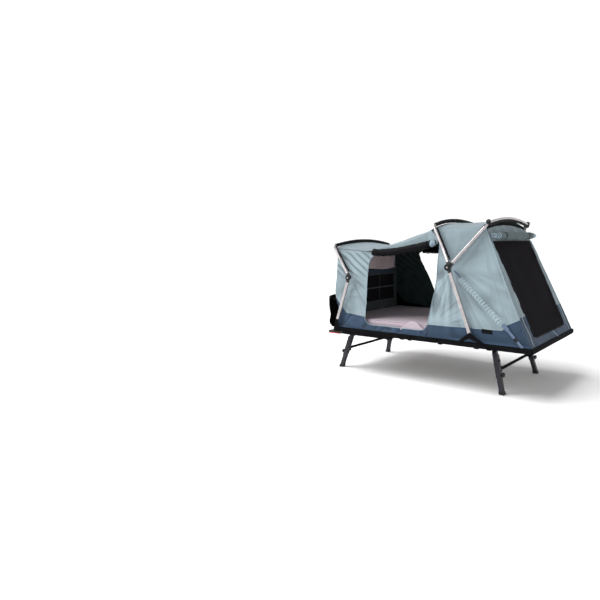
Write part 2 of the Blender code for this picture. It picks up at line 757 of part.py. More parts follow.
def make_upper_leg(end, side, word):
    """An upper leg tube, hollow from below, with a square head at its pivot."""
    pivot = LEG_CROSS[end]
    head_bottom = LEG_PIVOT_HEIGHT - LEG_HEAD_HEIGHT / 2
    leg = Piece("upper_leg_%s_%s" % (word, end), "dark_leg")
    leg.prism(leg_point(end, side, UPPER_LEG_BOTTOM), leg_point(end, side, head_bottom - 0.008), *UPPER_LEG)
    y = side * LEG_PIVOT_Y
    half_x = LEG_HEAD[0] / 2
    half_y = LEG_HEAD[1] / 2
    outline = arc((pivot, LEG_PIVOT_HEIGHT), half_x, 0, 180, 9)
    outline += [(pivot - half_x, head_bottom - 0.012), (pivot + half_x, head_bottom - 0.012)]
    leg.plate(outline, y - half_y, y + half_y)
    ob = leg.done()
    pin = Piece("leg_pin_hole", "dark_leg")
    pin.disc(place(pivot, y, LEG_PIVOT_HEIGHT), Vector((0, 1, 0)), LEG_PIN_RADIUS + 2 * CLEAR, 0.12, SMALL_SIDES)
    bore = Piece("leg_bore", "dark_leg")
    bore.prism(
        leg_point(end, side, UPPER_LEG_BOTTOM - 0.02), leg_point(end, side, LEG_CAVITY_TOP),
        UPPER_LEG[0] - 2 * LEG_WALL, UPPER_LEG[1] - 2 * LEG_WALL,
    )
    cut(ob, [bore.as_cutter(), pin.as_cutter()])
    return ob


def make_lower_leg(end, side, word):
    """A sliding lower tube that meets the end of the upper tube's cavity, in its rubber foot."""
    leg = Piece("lower_leg_%s_%s" % (word, end), "dark_leg")
    leg.prism(leg_point(end, side, FOOT_HEIGHT - JOIN), leg_point(end, side, LEG_CAVITY_TOP - CLEAR), *LOWER_LEG)
    size = (LOWER_LEG[0] + 2 * FOOT_MARGIN, LOWER_LEG[1] + 2 * FOOT_MARGIN)
    leg.prism(leg_point(end, side, 0.0), leg_point(end, side, FOOT_HEIGHT), *size)
    return leg.done()


def make_knob(end, side, word):
    """The clamp knob of one leg, on a boss that faces away from the platform's middle."""
    lean = -1 if end == "tow" else 1
    lean_x = LEG_SPLAY_X / LEG_PIVOT_HEIGHT * KNOB_BOSS_RADIUS
    wall = leg_point(end, side, KNOB_HEIGHT) + Vector((lean * (UPPER_LEG[0] / 2 + lean_x + CLEAR), 0, 0))
    axis = Vector((lean, 0, 0))
    piece = Piece("leg_knob_%s_%s" % (word, end), "black_plastic")
    reach = KNOB_BOSS_DEPTH + JOIN
    piece.disc(wall + axis * reach / 2, axis, KNOB_BOSS_RADIUS, reach, SMALL_SIDES)
    piece.disc(wall + axis * (KNOB_BOSS_DEPTH + KNOB_DEPTH / 2), axis, KNOB_RADIUS, KNOB_DEPTH, ROUND_SIDES)
    return piece.done(smooth=True)


def make_crossbar(end):
    """The bar between a pair of legs, with a gusset plate on each leg's inner face."""
    piece = Piece(end + "_leg_crossbar", "black_metal")
    length, depth, height = GUSSET_SIZE
    ends = {}
    for side in (-1, 1):
        centre = leg_point(end, side, CROSSBAR_HEIGHT)
        lean_y = LEG_SPLAY_Y / LEG_PIVOT_HEIGHT * height / 2
        face = abs(centre.y) - UPPER_LEG[1] / 2 - lean_y - CLEAR
        middle = Vector((centre.x, side * (face - depth / 2), centre.z))
        up = Vector((0, 0, height / 2))
        piece.bar(middle - up, middle + up, length, depth, Vector((0, 1, 0)))
        ends[side] = middle
    piece.bar(ends[-1], ends[1], CROSSBAR_SIZE[1], CROSSBAR_SIZE[0], Vector((1, 0, 0)), 0.004)
    return piece.done()


def add_leg_brackets(rails, pivot):
    """Pairs of plates under the leg cross member, with the pins that the leg heads turn on."""
    top = RAIL_BOTTOM + JOIN
    half = CROSS_WIDTH / 2 - JOIN
    low = LEG_PIVOT_HEIGHT
    outline = arc((pivot, low), half * 0.75, 180, 360, 9) + [(pivot + half, top), (pivot - half, top)]
    for side in (-1, 1):
        for edge in (-1, 1):
            face = side * LEG_PIVOT_Y + edge * (LEG_HEAD[1] / 2 + LAYER_GAP)
            y_low, y_high = sorted((face, face + edge * LEG_BRACKET_THICKNESS))
            rails.plate(outline, y_low, y_high)
        reach = LEG_HEAD[1] + 2 * LAYER_GAP + 2 * LEG_BRACKET_THICKNESS + 2 * JOIN
        rails.disc(place(pivot, side * LEG_PIVOT_Y, low), Vector((0, 1, 0)), LEG_PIN_RADIUS, reach, SMALL_SIDES)


# Canopy frame

def along(start, end, distance):
    """The point at a distance from start towards end."""
    t = distance / math.dist(start, end)
    return (mix(start[0], end[0], t), mix(start[1], end[1], t))


def make_pole(end, foot, hub, side, word):
    """A lower pole: a flat bar with round ends and a pin hole at its foot and at its hub."""
    piece = Piece("%s_pole_%s" % (end, word), "silver")
    radius = HUB_SHAFT_RADIUS + 2 * CLEAR
    holes = [circle(foot, radius, SMALL_SIDES), circle(hub, radius, SMALL_SIDES)]
    y = side * POLE_Y
    piece.plate(slot(foot, hub, POLE_WIDTH / 2), y - POLE_THICKNESS / 2, y + POLE_THICKNESS / 2, holes)
    return piece.done(smooth=True)


def make_hub(end, hub, last_layer_y, side, word):
    """A hub: a disc outside the pole, with a cap, and a shaft and nut that carry the bows' ends."""
    piece = Piece("%s_hub_%s" % (end, word), "black_plastic")
    face = HALF_WIDTH + CLEAR
    cap = face + HUB_DEPTH
    inner = last_layer_y - POLE_THICKNESS / 2 - CLEAR
    axis = Vector((0, side, 0))
    discs = (
        (HUB_RADIUS, face, cap, 20),
        (HUB_RADIUS * 0.45, cap - JOIN, cap + HUB_CAP_DEPTH, ROUND_SIDES),
        (HUB_SHAFT_RADIUS, inner - JOIN, face + JOIN, SMALL_SIDES),
        (HUB_NUT_RADIUS, inner - HUB_NUT_DEPTH, inner, SMALL_SIDES),
    )
    for radius, start, end_y, sides in discs:
        piece.disc(place(hub[0], side * (start + end_y) / 2, hub[1]), axis, radius, end_y - start, sides)
    return piece.done(smooth=True)


def make_bow(name, hub, corner, corner_y, rise, layer_y, apex_shift=0.0, knee=None):
    """A bow: flat ends at the hubs, arms, and a crown that bends over between the corners.

    A knee, given as (distance from the hub, side position), lets one bow nest inside another.
    """
    piece = Piece(name, "silver")
    hole = circle(hub, HUB_SHAFT_RADIUS + 2 * CLEAR, SMALL_SIDES)
    socket_end = along(hub, corner, SOCKET_LENGTH)
    direction = math.atan2(corner[1] - hub[1], corner[0] - hub[0])
    degrees = math.degrees(direction)
    half = POLE_WIDTH / 2
    step = (-math.sin(direction) * half, math.cos(direction) * half)
    outline = arc(hub, half, degrees + 90, degrees + 270, 9)
    outline += [
        (socket_end[0] - step[0], socket_end[1] - step[1]),
        (socket_end[0] + step[0], socket_end[1] + step[1]),
    ]
    arm_start = along(hub, corner, SOCKET_LENGTH - SOCKET_LAP)
    paths = []
    for side in (-1, 1):
        y = side * layer_y
        piece.plate(outline, y - POLE_THICKNESS / 2, y + POLE_THICKNESS / 2, [hole])
        start = place(arm_start[0], y, arm_start[1])
        lean_end = place(corner[0], side * corner_y, corner[1])
        section = (POLE_WIDTH - 0.003, POLE_THICKNESS - 0.001, Vector((0, 1, 0)), POLE_ROUNDING)
        if knee:
            bend = along(hub, corner, knee[0])
            bend = place(bend[0], side * knee[1], bend[1])
            piece.bar(start, bend + (bend - start).normalized() * JOIN, *section)
            start = bend
        straight = (lean_end - start).normalized()
        stop = lean_end - straight * CORNER_BEND
        piece.bar(start, stop, *section)
        paths.append((stop - straight * 0.010, lean_end))
    piece.add(crown_mesh(paths, corner, rise, apex_shift))
    return piece.done(smooth=True)


def crown_mesh(paths, corner, rise, apex_shift):
    """The crown tube: up from one arm, round the corner, over the arc and down to the other arm."""
    (near_start, near_corner), (far_start, far_corner) = paths
    half_width = abs(near_corner.y)
    arc_points = []
    count = 13
    for i in range(count):
        v = mix(-0.93, 0.93, i / (count - 1))
        lift = 1 - v * v
        arc_points.append(place(corner[0] + apex_shift * lift, v * half_width, corner[1] + rise * lift))
    near_bend = [bend_point(near_start, near_corner, arc_points[0], t) for t in (0.35, 0.7)]
    far_bend = [bend_point(far_start, far_corner, arc_points[-1], t) for t in (0.7, 0.35)]
    return tube_mesh([near_start, *near_bend, *arc_points, *far_bend, far_start], BOW_TUBE_RADIUS, 2)


def bend_point(start, corner, end, t):
    return (1 - t) ** 2 * start + 2 * t * (1 - t) * corner + t * t * end


def tube_mesh(points, radius, bevel_resolution):
    """A closed round tube along a list of points."""
    curve = bpy.data.curves.new("tube", "CURVE")
    curve.dimensions = "3D"
    curve.bevel_depth = radius
    curve.bevel_resolution = bevel_resolution
    curve.use_fill_caps = True
    spline = curve.splines.new("POLY")
    spline.points.add(len(points) - 1)
    for point, position in zip(spline.points, points):
        point.co = (*position, 1.0)
    guide = bpy.data.objects.new("tube", curve)
    PARTS.objects.link(guide)
    mesh = evaluated_mesh(guide)
    bpy.data.objects.remove(guide)
    bpy.data.curves.remove(curve)
    weld(mesh)
    return mesh


def add_bracket_bolt(piece, station, height, side, inwards):
    """A bolt head on a bracket's outer face, with its shank reaching inwards."""
    face = HALF_WIDTH + CLEAR + BRACKET_THICKNESS
    y_low = face - inwards
    y_high = face + BRACKET_BOLT_DEPTH
    centre = place(station, side * (y_low + y_high) / 2, height)
    piece.disc(centre, Vector((0, 1, 0)), BRACKET_BOLT_RADIUS, y_high - y_low, 6)


def add_foot_pin(piece, foot, side):
    """The pin through a bracket and the foot of its pole."""
    y_low = POLE_Y - POLE_THICKNESS / 2 - CLEAR
    y_high = HALF_WIDTH + CLEAR + BRACKET_THICKNESS + JOIN
    centre = place(foot[0], side * (y_low + y_high) / 2, foot[1])
    piece.disc(centre, Vector((0, 1, 0)), HUB_SHAFT_RADIUS, y_high - y_low, SMALL_SIDES)


def add_tow_pole_brackets(rails):
    """Brackets on the outer faces of the tow rails, for the feet of the tow poles."""
    half = TOW_BRACKET_HALF
    outline = arc(TOW_FOOT, BRACKET_EYE, 0, 180, 8)
    outline += [(TOW_FOOT[0] - half, RAIL_TOP), (TOW_FOOT[0] - half, BRACKET_FOOT - 0.008)]
    outline += [(TOW_FOOT[0] + half, BRACKET_FOOT - 0.008), (TOW_FOOT[0] + half, RAIL_TOP)]
    for side in (-1, 1):
        y_low, y_high = sorted((side * (HALF_WIDTH + CLEAR), side * (HALF_WIDTH + CLEAR + BRACKET_THICKNESS)))
        rails.plate(outline, y_low, y_high)
        add_foot_pin(rails, TOW_FOOT, side)
        for shift in (-0.020, 0.020):
            add_bracket_bolt(rails, TOW_FOOT[0] + shift, BRACKET_FOOT + 0.010, side, 2 * BRACKET_THICKNESS)


def make_outer_pole_bracket(side, word):
    """An inverted V strap bolted to the outer rail, which carries the outer pole at its top."""
    piece = Piece("pole_bracket_" + word, "black_metal")
    half = OUTER_BRACKET_STRIP / 2
    left = OUTER_BRACKET_LEFT
    right = OUTER_BRACKET_RIGHT
    low = BRACKET_FOOT - 0.010
    shoulder = BRACKET_FOOT + 0.018
    inside = BRACKET_FOOT + 0.012
    outline = arc(OUTER_FOOT, BRACKET_EYE, 20, 160, 8)
    outline += [(left - half, shoulder), (left - half, low), (left + half, low), (left + half, inside)]
    outline += [(OUTER_FOOT[0], OUTER_FOOT[1] - BRACKET_EYE - 0.016)]
    outline += [(right - half, inside), (right - half, low), (right + half, low), (right + half, shoulder)]
    y_low, y_high = sorted((side * (HALF_WIDTH + CLEAR), side * (HALF_WIDTH + CLEAR + BRACKET_THICKNESS)))
    piece.plate(outline, y_low, y_high)
    add_foot_pin(piece, OUTER_FOOT, side)
    for station in (left, right):
        add_bracket_bolt(piece, station, BRACKET_FOOT + 0.004, side, BRACKET_THICKNESS / 2)
    return piece.done()


# Fabric

FRONT_EAVE_STATION = FRONT_CORNER[0] + 0.016
REAR_WALL_TOP = REAR_FOOT - REAR_LEAN * (REAR_TOP - HEM_HEIGHT)
EAVE_HEIGHTS = (
    (FRONT_EAVE_STATION, FRONT_EAVE),
    (VALLEY_STATION, VALLEY_EAVE),
    (DOOR_ROLL_LEFT[0], DOOR_ROLL_LEFT[1] + DOOR_ROLL_RADIUS + DOOR_ROLL_SEAT),
    (1.000, 1.610),
    (MID_CORNER[0], MID_CORNER[1] - 0.030),
    (REAR_CORNER[0], REAR_CORNER[1] - 0.030),
)
RIDGE_HEIGHTS = (
    (FRONT_EAVE_STATION, FRONT_CORNER[1] + FRONT_RISE - ROOF_CLEARANCE),
    (VALLEY_STATION, VALLEY_RIDGE),
    (MID_CORNER[0] + MID_APEX_SHIFT, MID_CORNER[1] + MID_RISE - ROOF_CLEARANCE),
    (1.550, 1.792),
    (REAR_CORNER[0], REAR_CORNER[1] + REAR_RISE - ROOF_CLEARANCE),
)
EAVE_HALF_WIDTHS = (
    (FRONT_EAVE_STATION, FRONT_CORNER_Y - 0.026),
    (VALLEY_STATION, HALF_WIDTH - VALLEY_INSET),
    (MID_CORNER[0], MID_CORNER_Y - 0.026),
    (REAR_CORNER[0], REAR_CORNER_Y - 0.026),
)


def wall_half_width(station, height):
    """Half width between the outer faces of the side walls."""
    if height < SEAM_HEIGHT:
        return HEM_HALF_WIDTH
    if height < WAIST_HEIGHT:
        t = (height - SEAM_HEIGHT) / (WAIST_HEIGHT - SEAM_HEIGHT)
        return mix(HEM_HALF_WIDTH, WAIST_HALF_WIDTH, t)
    t = (height - WAIST_HEIGHT) / (reading(EAVE_HEIGHTS, station) - WAIST_HEIGHT)
    return mix(WAIST_HALF_WIDTH, reading(EAVE_HALF_WIDTHS, station), min(1.0, t))


def rear_station(height):
    return REAR_FOOT - REAR_LEAN * (height - HEM_HEIGHT)


def door_right(height):
    return reading(((SEAM_HEIGHT, DOOR_RIGHT_LOW), (1.06, 1.295), (1.48, DOOR_RIGHT_HIGH)), height)


INSIDE = place(PLATFORM_LENGTH / 2, 0, WAIST_HEIGHT)


def sheet(name, look, grid, thickness=CLOTH):
    """A cloth sheet: an open grid of points, given thickness towards the inside of the tent."""
    bm = bmesh.new()
    rows = [[bm.verts.new(point) for point in row] for row in grid]
    for low, high in zip(rows, rows[1:]):
        for a, b, c, d in zip(low, low[1:], high[1:], high):
            bm.faces.new((a, b, c, d))
    bm.normal_update()
    outward = sum(face.normal.dot(face.calc_center_median() - INSIDE) for face in bm.faces)
    if outward < 0:
        bmesh.ops.reverse_faces(bm, faces=bm.faces)
    mesh = bpy.data.meshes.new(name)
    bm.to_mesh(mesh)
    bm.free()
    ob = bpy.data.objects.new(name, mesh)
    PARTS.objects.link(ob)
    solid = ob.modifiers.new("thickness", "SOLIDIFY")
    solid.thickness = thickness
    solid.offset = -1.0
    solid.use_even_offset = True
    finish(ob, look, smooth=True)
    return ob


def pucker(station, height, hub, reach, folds):
    """How far a wall swells in the folds that run down and away from a hub, fading out with distance."""
    dx = station - hub[0]
    dz = height - hub[1]
    distance = math.hypot(dx, dz)
    if distance > reach or dz > 0:
        return 0.0
    fade = math.sin(math.pi * distance / reach)
    return PUCKER_DEPTH * fade * math.sin(folds * math.atan2(dx, -dz))


TOW_SEAM = (
    (TOW_WALL, TOW_WALL_SEAM), (TOW_WALL + 0.020, TOW_WALL_SEAM), (0.110, 0.790), (0.142, 0.759), (0.176, 0.729),
    (0.250, 0.722), (0.320, 0.714), (0.390, 0.706), (0.460, SEAM_HEIGHT), (DOOR_LEFT, SEAM_HEIGHT - 0.010),
)
DOOR_EDGE = (
    (0.505, 0.672), (DOOR_SILL_START, DOOR_SILL), (0.775, DOOR_SILL), (0.975, DOOR_SILL), (DOOR_SILL_END, DOOR_SILL),
    (1.235, 0.668), (DOOR_RIGHT_LOW - SEAM_GAP, SEAM_HEIGHT - SEAM_GAP),
)


def tow_path(seam, across):
    """Plan path round the tow end, as (side, seam point): along the near side, the end and the far side."""
    path = [(-1, point) for point in seam[::-1]]
    path += [(mix(-1, 1, i / across), seam[0]) for i in range(1, across)]
    return path + [(1, point) for point in seam]


def make_tow_canopy():
    """The light wall of the tow end: near side, end wall and far side in one sheet."""
    levels = 12
    ridge = reading(RIDGE_HEIGHTS, FRONT_EAVE_STATION)
    rows = []
    for j in range(levels):
        row = []
        for side, (low_station, seam) in tow_path(TOW_SEAM, ROOF_COLUMNS):
            u = (low_station - TOW_WALL) / (DOOR_LEFT - TOW_WALL)
            eave = reading(EAVE_HEIGHTS, mix(FRONT_EAVE_STATION, DOOR_LEFT + DOOR_CURVE, u))
            top = mix(ridge, eave, side * side) - CLOTH - ROOF_SEAT
            height = mix(seam + SEAM_GAP, top, j / (levels - 1))
            flare = min(1.0, max(0.0, (height - TOW_FLARE_HEIGHT) / (FRONT_EAVE - TOW_FLARE_HEIGHT)))
            station = mix(mix(TOW_WALL, FRONT_EAVE_STATION, flare), DOOR_LEFT + DOOR_CURVE * flare, u)
            half = wall_half_width(station, height)
            if abs(side) == 1:
                half -= PUCKER_DEPTH - pucker(station, height, TOW_HUB, TOW_PUCKER_REACH, 13)
            row.append(place(station, side * half, height))
        rows.append(row)
    return sheet("tow_canopy", "light_cloth", rows)


def make_lower_wall():
    """The dark lower wall round the tow end, cut down to a sill under both doors."""
    rows = []
    for v in (0.0, 0.5, 1.0):
        row = []
        for side, (station, seam) in tow_path(TOW_SEAM + DOOR_EDGE, ROOF_COLUMNS):
            height = mix(HEM_HEIGHT, seam, v)
            row.append(place(station, side * wall_half_width(station, height), height))
        rows.append(row)
    return sheet("door_lower_wall", "dark_cloth", rows)


def make_front_roof():
    """The roof from the front bow, over the door valley, up to the mid bow."""
    stations = [FRONT_EAVE_STATION, 0.08, 0.25, VALLEY_STATION, 0.58, 0.76, 0.94, 1.10, MID_CORNER[0] - MID_LAP - 0.005]
    rows = []
    for station in stations:
        half = reading(EAVE_HALF_WIDTHS, station)
        eave = reading(EAVE_HEIGHTS, station)
        ridge = reading(RIDGE_HEIGHTS, station)
        row = []
        for i in range(ROOF_COLUMNS + 1):
            v = mix(-1, 1, i / ROOF_COLUMNS)
            row.append(place(station, v * half, mix(eave, ridge, 1 - v * v)))
        rows.append(row)
    return sheet("front_roof", "light_cloth", rows)


def outer_wall_point(side, u, v):
    """A point of the outer end's side walls: u runs from the door to the rear, v from hem to eave."""
    start = MID_CORNER[0] - MID_LAP
    high = reading(EAVE_HEIGHTS, mix(start, REAR_WALL_TOP, u))
    height = mix(HEM_HEIGHT, high, v)
    left = door_right(height)
    if height > DOOR_TOP:
        left = mix(DOOR_RIGHT_HIGH, start, (height - DOOR_TOP) / (high - DOOR_TOP))
    station = mix(left, rear_station(height) - REAR_LAP, u)
    swell = pucker(station, height, OUTER_HUB, OUTER_PUCKER_REACH, 11)
    return place(station, side * (wall_half_width(station, height) - PUCKER_DEPTH + swell), height)


def outer_roof_point(u, side):
    station = mix(MID_CORNER[0] - MID_LAP, REAR_WALL_TOP - REAR_LAP, u)
    rise = mix(reading(RIDGE_HEIGHTS, station), reading(EAVE_HEIGHTS, station), side * side)
    return place(station, side * reading(EAVE_HALF_WIDTHS, station), rise)


def make_outer_canopy():
    """The walls and roof of the outer end, in one sheet from hem to hem over the mid and rear bows."""
    levels = [j / 10 for j in range(11)]
    columns = [i / 12 for i in range(13)]
    rows = [[outer_wall_point(-1, u, v) for u in columns] for v in levels]
    rows += [[outer_roof_point(u, mix(-1, 1, i / ROOF_COLUMNS)) for u in columns] for i in range(1, ROOF_COLUMNS)]
    rows += [[outer_wall_point(1, u, v) for u in columns] for v in levels[::-1]]
    return sheet("outer_canopy", "light_cloth", rows)


def wall_plane(height):
    """A turn that lays a plate drawn across the tent on the leaning rear wall."""
    lean = math.atan(REAR_LEAN)
    turn = Matrix.Rotation(-lean, 4, "Y") @ Matrix.Rotation(math.radians(90), 4, "Z")
    return Matrix.Translation(place(REAR_FOOT, 0, height)) @ turn


def slope(height):
    """Distance up the leaning wall from its foot to a height."""
    return (height - HEM_HEIGHT) * REAR_SLANT


def window_outline(margin):
    """The window's outline across the wall, with round lower corners."""
    low = slope(WINDOW_LOW) + margin
    high = slope(WINDOW_HIGH) - margin
    half_low = WINDOW_HALF_LOW - margin
    half_high = WINDOW_HALF_HIGH - margin
    r = WINDOW_CORNER
    points = arc((half_low - r, low + r), r, -90, 0, 5)
    points += [(half_high, high), (-half_high, high)]
    points += arc((-half_low + r, low + r), r, 180, 270, 5)
    return points


def make_rear_wall():
    """The leaning end wall with its window opening, and the dark mesh that fills the opening."""
    wall = Piece("rear_wall", "light_cloth")
    edge = []
    levels = (REAR_HEM, 0.85, WAIST_HEIGHT, 1.45, REAR_TOP)
    for height in levels:
        edge.append((wall_half_width(rear_station(height), height), slope(height)))
    top = []
    rise = 0.055
    for i in range(1, 8):
        v = mix(1, -1, i / 8)
        top.append((edge[-1][0] * v, edge[-1][1] + rise * (1 - v * v)))
    outline = edge + top + [(-half, up) for half, up in edge[::-1]]
    shifted = [(y + CENTRE_STATION, up) for y, up in outline]
    hole = [(y + CENTRE_STATION, up) for y, up in window_outline(0.0)]
    wall.add(plate_mesh([shifted, hole], CLOTH, CLOTH / 2), wall_plane(HEM_HEIGHT))
    mesh_panel = Piece("window_mesh", "black_cloth")
    pane = [(y + CENTRE_STATION, up) for y, up in window_outline(WINDOW_GAP)]
    mesh_panel.add(plate_mesh([pane], CLOTH / 2, CLOTH / 2), wall_plane(HEM_HEIGHT))
    return [wall.done(), mesh_panel.done()]


def make_window_roll():
    """The window's cover, rolled up and tied above the window."""
    piece = Piece("window_roll", "roll_cloth")
    normal = Vector((1, 0, REAR_LEAN)).normalized()
    centre = place(rear_station(ROLL_HEIGHT), 0, ROLL_HEIGHT) + normal * (ROLL_RADIUS + CLEAR)
    piece.disc(centre, Vector((0, 1, 0)), ROLL_RADIUS, 2 * ROLL_HALF_LENGTH, 20)
    return piece.done(smooth=True)


def make_door_roll(side, word):
    """A door flap, rolled up under the eave and sagging a little between its ties."""
    piece = Piece("door_roll_" + word, "black_cloth")
    points = []
    for i in range(9):
        t = i / 8
        station = mix(DOOR_ROLL_LEFT[0], DOOR_ROLL_RIGHT[0], t)
        height = mix(DOOR_ROLL_LEFT[1], DOOR_ROLL_RIGHT[1], t) - DOOR_ROLL_SAG * math.sin(math.pi * t)
        points.append(place(station, side * DOOR_ROLL_Y, height))
    piece.add(tube_mesh(points, DOOR_ROLL_RADIUS, 4))
    return piece.done(smooth=True)


def make_strap(side, word):
    """A corner strap from the wall down to the rail, and its ladder buckle."""
    foot = place(STRAP_FOOT, 0, RAIL_TOP + CLEAR)
    top = place(STRAP_TOP[0], 0, STRAP_TOP[1])
    direction = (top - foot).normalized()
    half = STRAP_WIDTH / 2 / direction.z
    inner = wall_half_width(*STRAP_TOP) + STRAP_CLEARANCE
    outer = inner + STRAP_THICKNESS
    strap = Piece("corner_strap_" + word, "webbing")
    strap.plate(
        [(STRAP_FOOT - half, foot.z), (STRAP_FOOT + half, foot.z), (STRAP_TOP[0] + half, top.z), (STRAP_TOP[0] - half, top.z)],
        *sorted((side * inner, side * outer)),
    )
    middle = foot + (top - foot) * 0.42 + Vector((0, side * (outer + CLEAR + BUCKLE_SIZE[1] / 2), 0))
    reach = direction * BUCKLE_SIZE[0] / 2
    buckle = Piece("strap_buckle_" + word, "black_plastic")
    buckle.bar(middle - reach, middle + reach, BUCKLE_SIZE[2], BUCKLE_SIZE[1], Vector((0, side, 0)), 0.0015)
    return [strap.done(), buckle.done()]


def make_organiser():
    """The mesh pocket panel that hangs inside the tow end wall."""
    piece = Piece("organiser", "black_cloth")
    face = TOW_WALL + CLOTH + CLEAR
    piece.box(
        (face, -ORGANISER_HALF_WIDTH, ORGANISER_LOW), (face + ORGANISER_DEPTH, ORGANISER_HALF_WIDTH, ORGANISER_HIGH), 0.006
    )
    return piece.done()


SIDES = ((-1, "near"), (1, "far"))


def build():
    make_axes()
    for section in SECTIONS:
        pieces = [make_rails(section), make_deck(section), make_mattress(section)]
        if section != "tow":
            hang(pieces, section + "_fold_axis")
    make_chassis()
    make_tongue()
    make_cover()
    make_cover_folds()
    make_lamps()
    for end in LEG_CROSS:
        hang([make_crossbar(end)], end + "_leg_axis")
        for side, word in SIDES:
            pieces = [make_upper_leg(end, side, word), make_lower_leg(end, side, word), make_knob(end, side, word)]
            hang(pieces, end + "_leg_axis")
    for side, word in SIDES:
        hang([make_outer_pole_bracket(side, word)], "outer_fold_axis")
        hang([make_pole("tow", TOW_FOOT, TOW_HUB, side, word)], "tow_pole_axis")
        hang([make_hub("tow", TOW_HUB, FIRST_LAYER_Y, side, word)], "tow_pole_axis")
        hang([make_pole("outer", OUTER_FOOT, OUTER_HUB, side, word)], "outer_pole_axis")
        hang([make_hub("outer", OUTER_HUB, SECOND_LAYER_Y, side, word)], "outer_pole_axis")
    front = make_bow("front_bow", TOW_HUB, FRONT_CORNER, FRONT_CORNER_Y, FRONT_RISE, FIRST_LAYER_Y)
    middle = make_bow(
        "mid_bow", OUTER_HUB, MID_CORNER, MID_CORNER_Y, MID_RISE, SECOND_LAYER_Y, MID_APEX_SHIFT,
        (MID_KNEE, MID_KNEE_Y),
    )
    rear = make_bow("rear_bow", OUTER_HUB, REAR_CORNER, REAR_CORNER_Y, REAR_RISE, FIRST_LAYER_Y)
    hang([front], "front_bow_axis")
    hang([middle], "mid_bow_axis")
    hang([rear], "rear_bow_axis")
    make_tow_canopy()
    make_lower_wall()
    make_organiser()
    rolls = [make_door_roll(side, word) for side, word in SIDES]
    hang([make_front_roof(), *rolls], "spine_fold_axis")
    hang([make_outer_canopy(), *make_rear_wall(), make_window_roll()], "outer_fold_axis")
    for side, word in SIDES:
        hang(make_strap(side, word), "outer_fold_axis")


build()
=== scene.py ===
# %% [markdown]
# # A hitch tent, dressed
# The tent is a folding bed on four legs with a cloth canopy over three bows. Its solid parts were
# made in a CAD script and packed with their joints. Here they are loaded as a fixed frame, the
# cloth is made new around them, and every surface gets its finish. Stations are lengths along the
# platform from its tow end, in metres, as a tentmaker would chalk them on the rail.

import itertools
import math

import bmesh
import bpy
import numpy as np
from mathutils import Matrix, Vector


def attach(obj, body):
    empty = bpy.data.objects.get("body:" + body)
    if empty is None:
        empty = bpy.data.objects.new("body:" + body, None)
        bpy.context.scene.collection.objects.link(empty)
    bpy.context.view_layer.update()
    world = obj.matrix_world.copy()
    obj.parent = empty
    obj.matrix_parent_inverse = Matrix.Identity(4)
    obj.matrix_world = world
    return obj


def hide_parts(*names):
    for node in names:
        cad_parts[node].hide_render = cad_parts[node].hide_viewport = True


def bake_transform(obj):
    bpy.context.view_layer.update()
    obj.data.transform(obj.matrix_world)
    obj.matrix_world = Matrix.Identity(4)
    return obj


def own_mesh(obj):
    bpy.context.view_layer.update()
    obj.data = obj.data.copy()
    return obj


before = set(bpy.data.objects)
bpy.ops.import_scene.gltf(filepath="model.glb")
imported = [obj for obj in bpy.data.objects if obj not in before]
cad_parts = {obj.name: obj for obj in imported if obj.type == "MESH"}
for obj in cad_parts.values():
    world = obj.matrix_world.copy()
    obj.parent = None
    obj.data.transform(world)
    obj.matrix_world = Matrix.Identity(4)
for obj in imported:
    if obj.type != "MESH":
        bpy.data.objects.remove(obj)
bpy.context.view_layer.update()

# %% [markdown]
# ## The tent's own measures
# The canopy hangs between things that the frame fixes: the rails, the hubs and the corners of the
# bows. The same numbers shape the solids, so they are written down once here and every cloth panel
# reads them. A point is given as station, side and height.

# %% Measures of the frame and the canopy
SIDES = ((-1, "near"), (1, "far"))
MIDDLE = 0.93
FOLD_LINES = (1.068, 1.379)
HEM, HEM_FOOT, SEAM, WAIST = 0.5456, 0.5451, 0.696, 1.200
TOW_HUB, OUTER_HUB = (0.228, 1.161), (1.490, 1.312)
FRONT_CORNER, MID_CORNER, REAR_CORNER = (-0.061, 1.540), (1.265, 1.753), (1.851, 1.762)
HEM_HALF, WAIST_HALF = 0.7465, 0.698
EAVE_HEIGHTS = ((-0.045, 1.522), (0.42, 1.48), (0.56, 1.5095), (1.0, 1.61), (1.265, 1.723),
                (1.851, 1.732))
RIDGE_HEIGHTS = ((-0.045, 1.585), (0.42, 1.52), (1.226, 1.803), (1.55, 1.792), (1.851, 1.803))
EAVE_HALVES = ((-0.045, 0.652), (0.42, 0.640), (1.265, 0.626), (1.851, 0.596))
TOW_END, NEAR_DOOR, FAR_DOOR, DOOR_END = 0.042, 0.444, 0.682, 1.249
DOOR_RIGHT = ((0.696, 1.250), (1.06, 1.295), (1.48, 1.330))
ROOF_START, MID_LAP = -0.045, MID_CORNER[0] - 0.040
REAR_FOOT, REAR_LEAN = 2.345, 0.4456
WALL_INSET, CLOTH = 0.0045, 0.0016


def at(station, y, height):
    """The place in the shared frame of a point given by its station, side and height."""
    return Vector((station - MIDDLE, y, height))


def columns(station, y, z):
    """The points of the shared frame for columns of station, side and height."""
    return np.stack((station - MIDDLE, y, z), axis=1)


def reading(table, x, ease=0.05):
    """Read a table of pairs at x, with its corners eased over a short length."""
    keys, values = zip(*table)
    shifts = np.linspace(-ease, ease, 7)
    return np.mean([np.interp(np.asarray(x, float) + s, keys, values) for s in shifts], axis=0)


def eased(share, marks, values, turn):
    """Read a path with corners at marks, each of them eased over a short turn."""
    shifts = np.linspace(-turn, turn, 5)
    return np.mean([np.interp(share + s, marks, values) for s in shifts], axis=0)


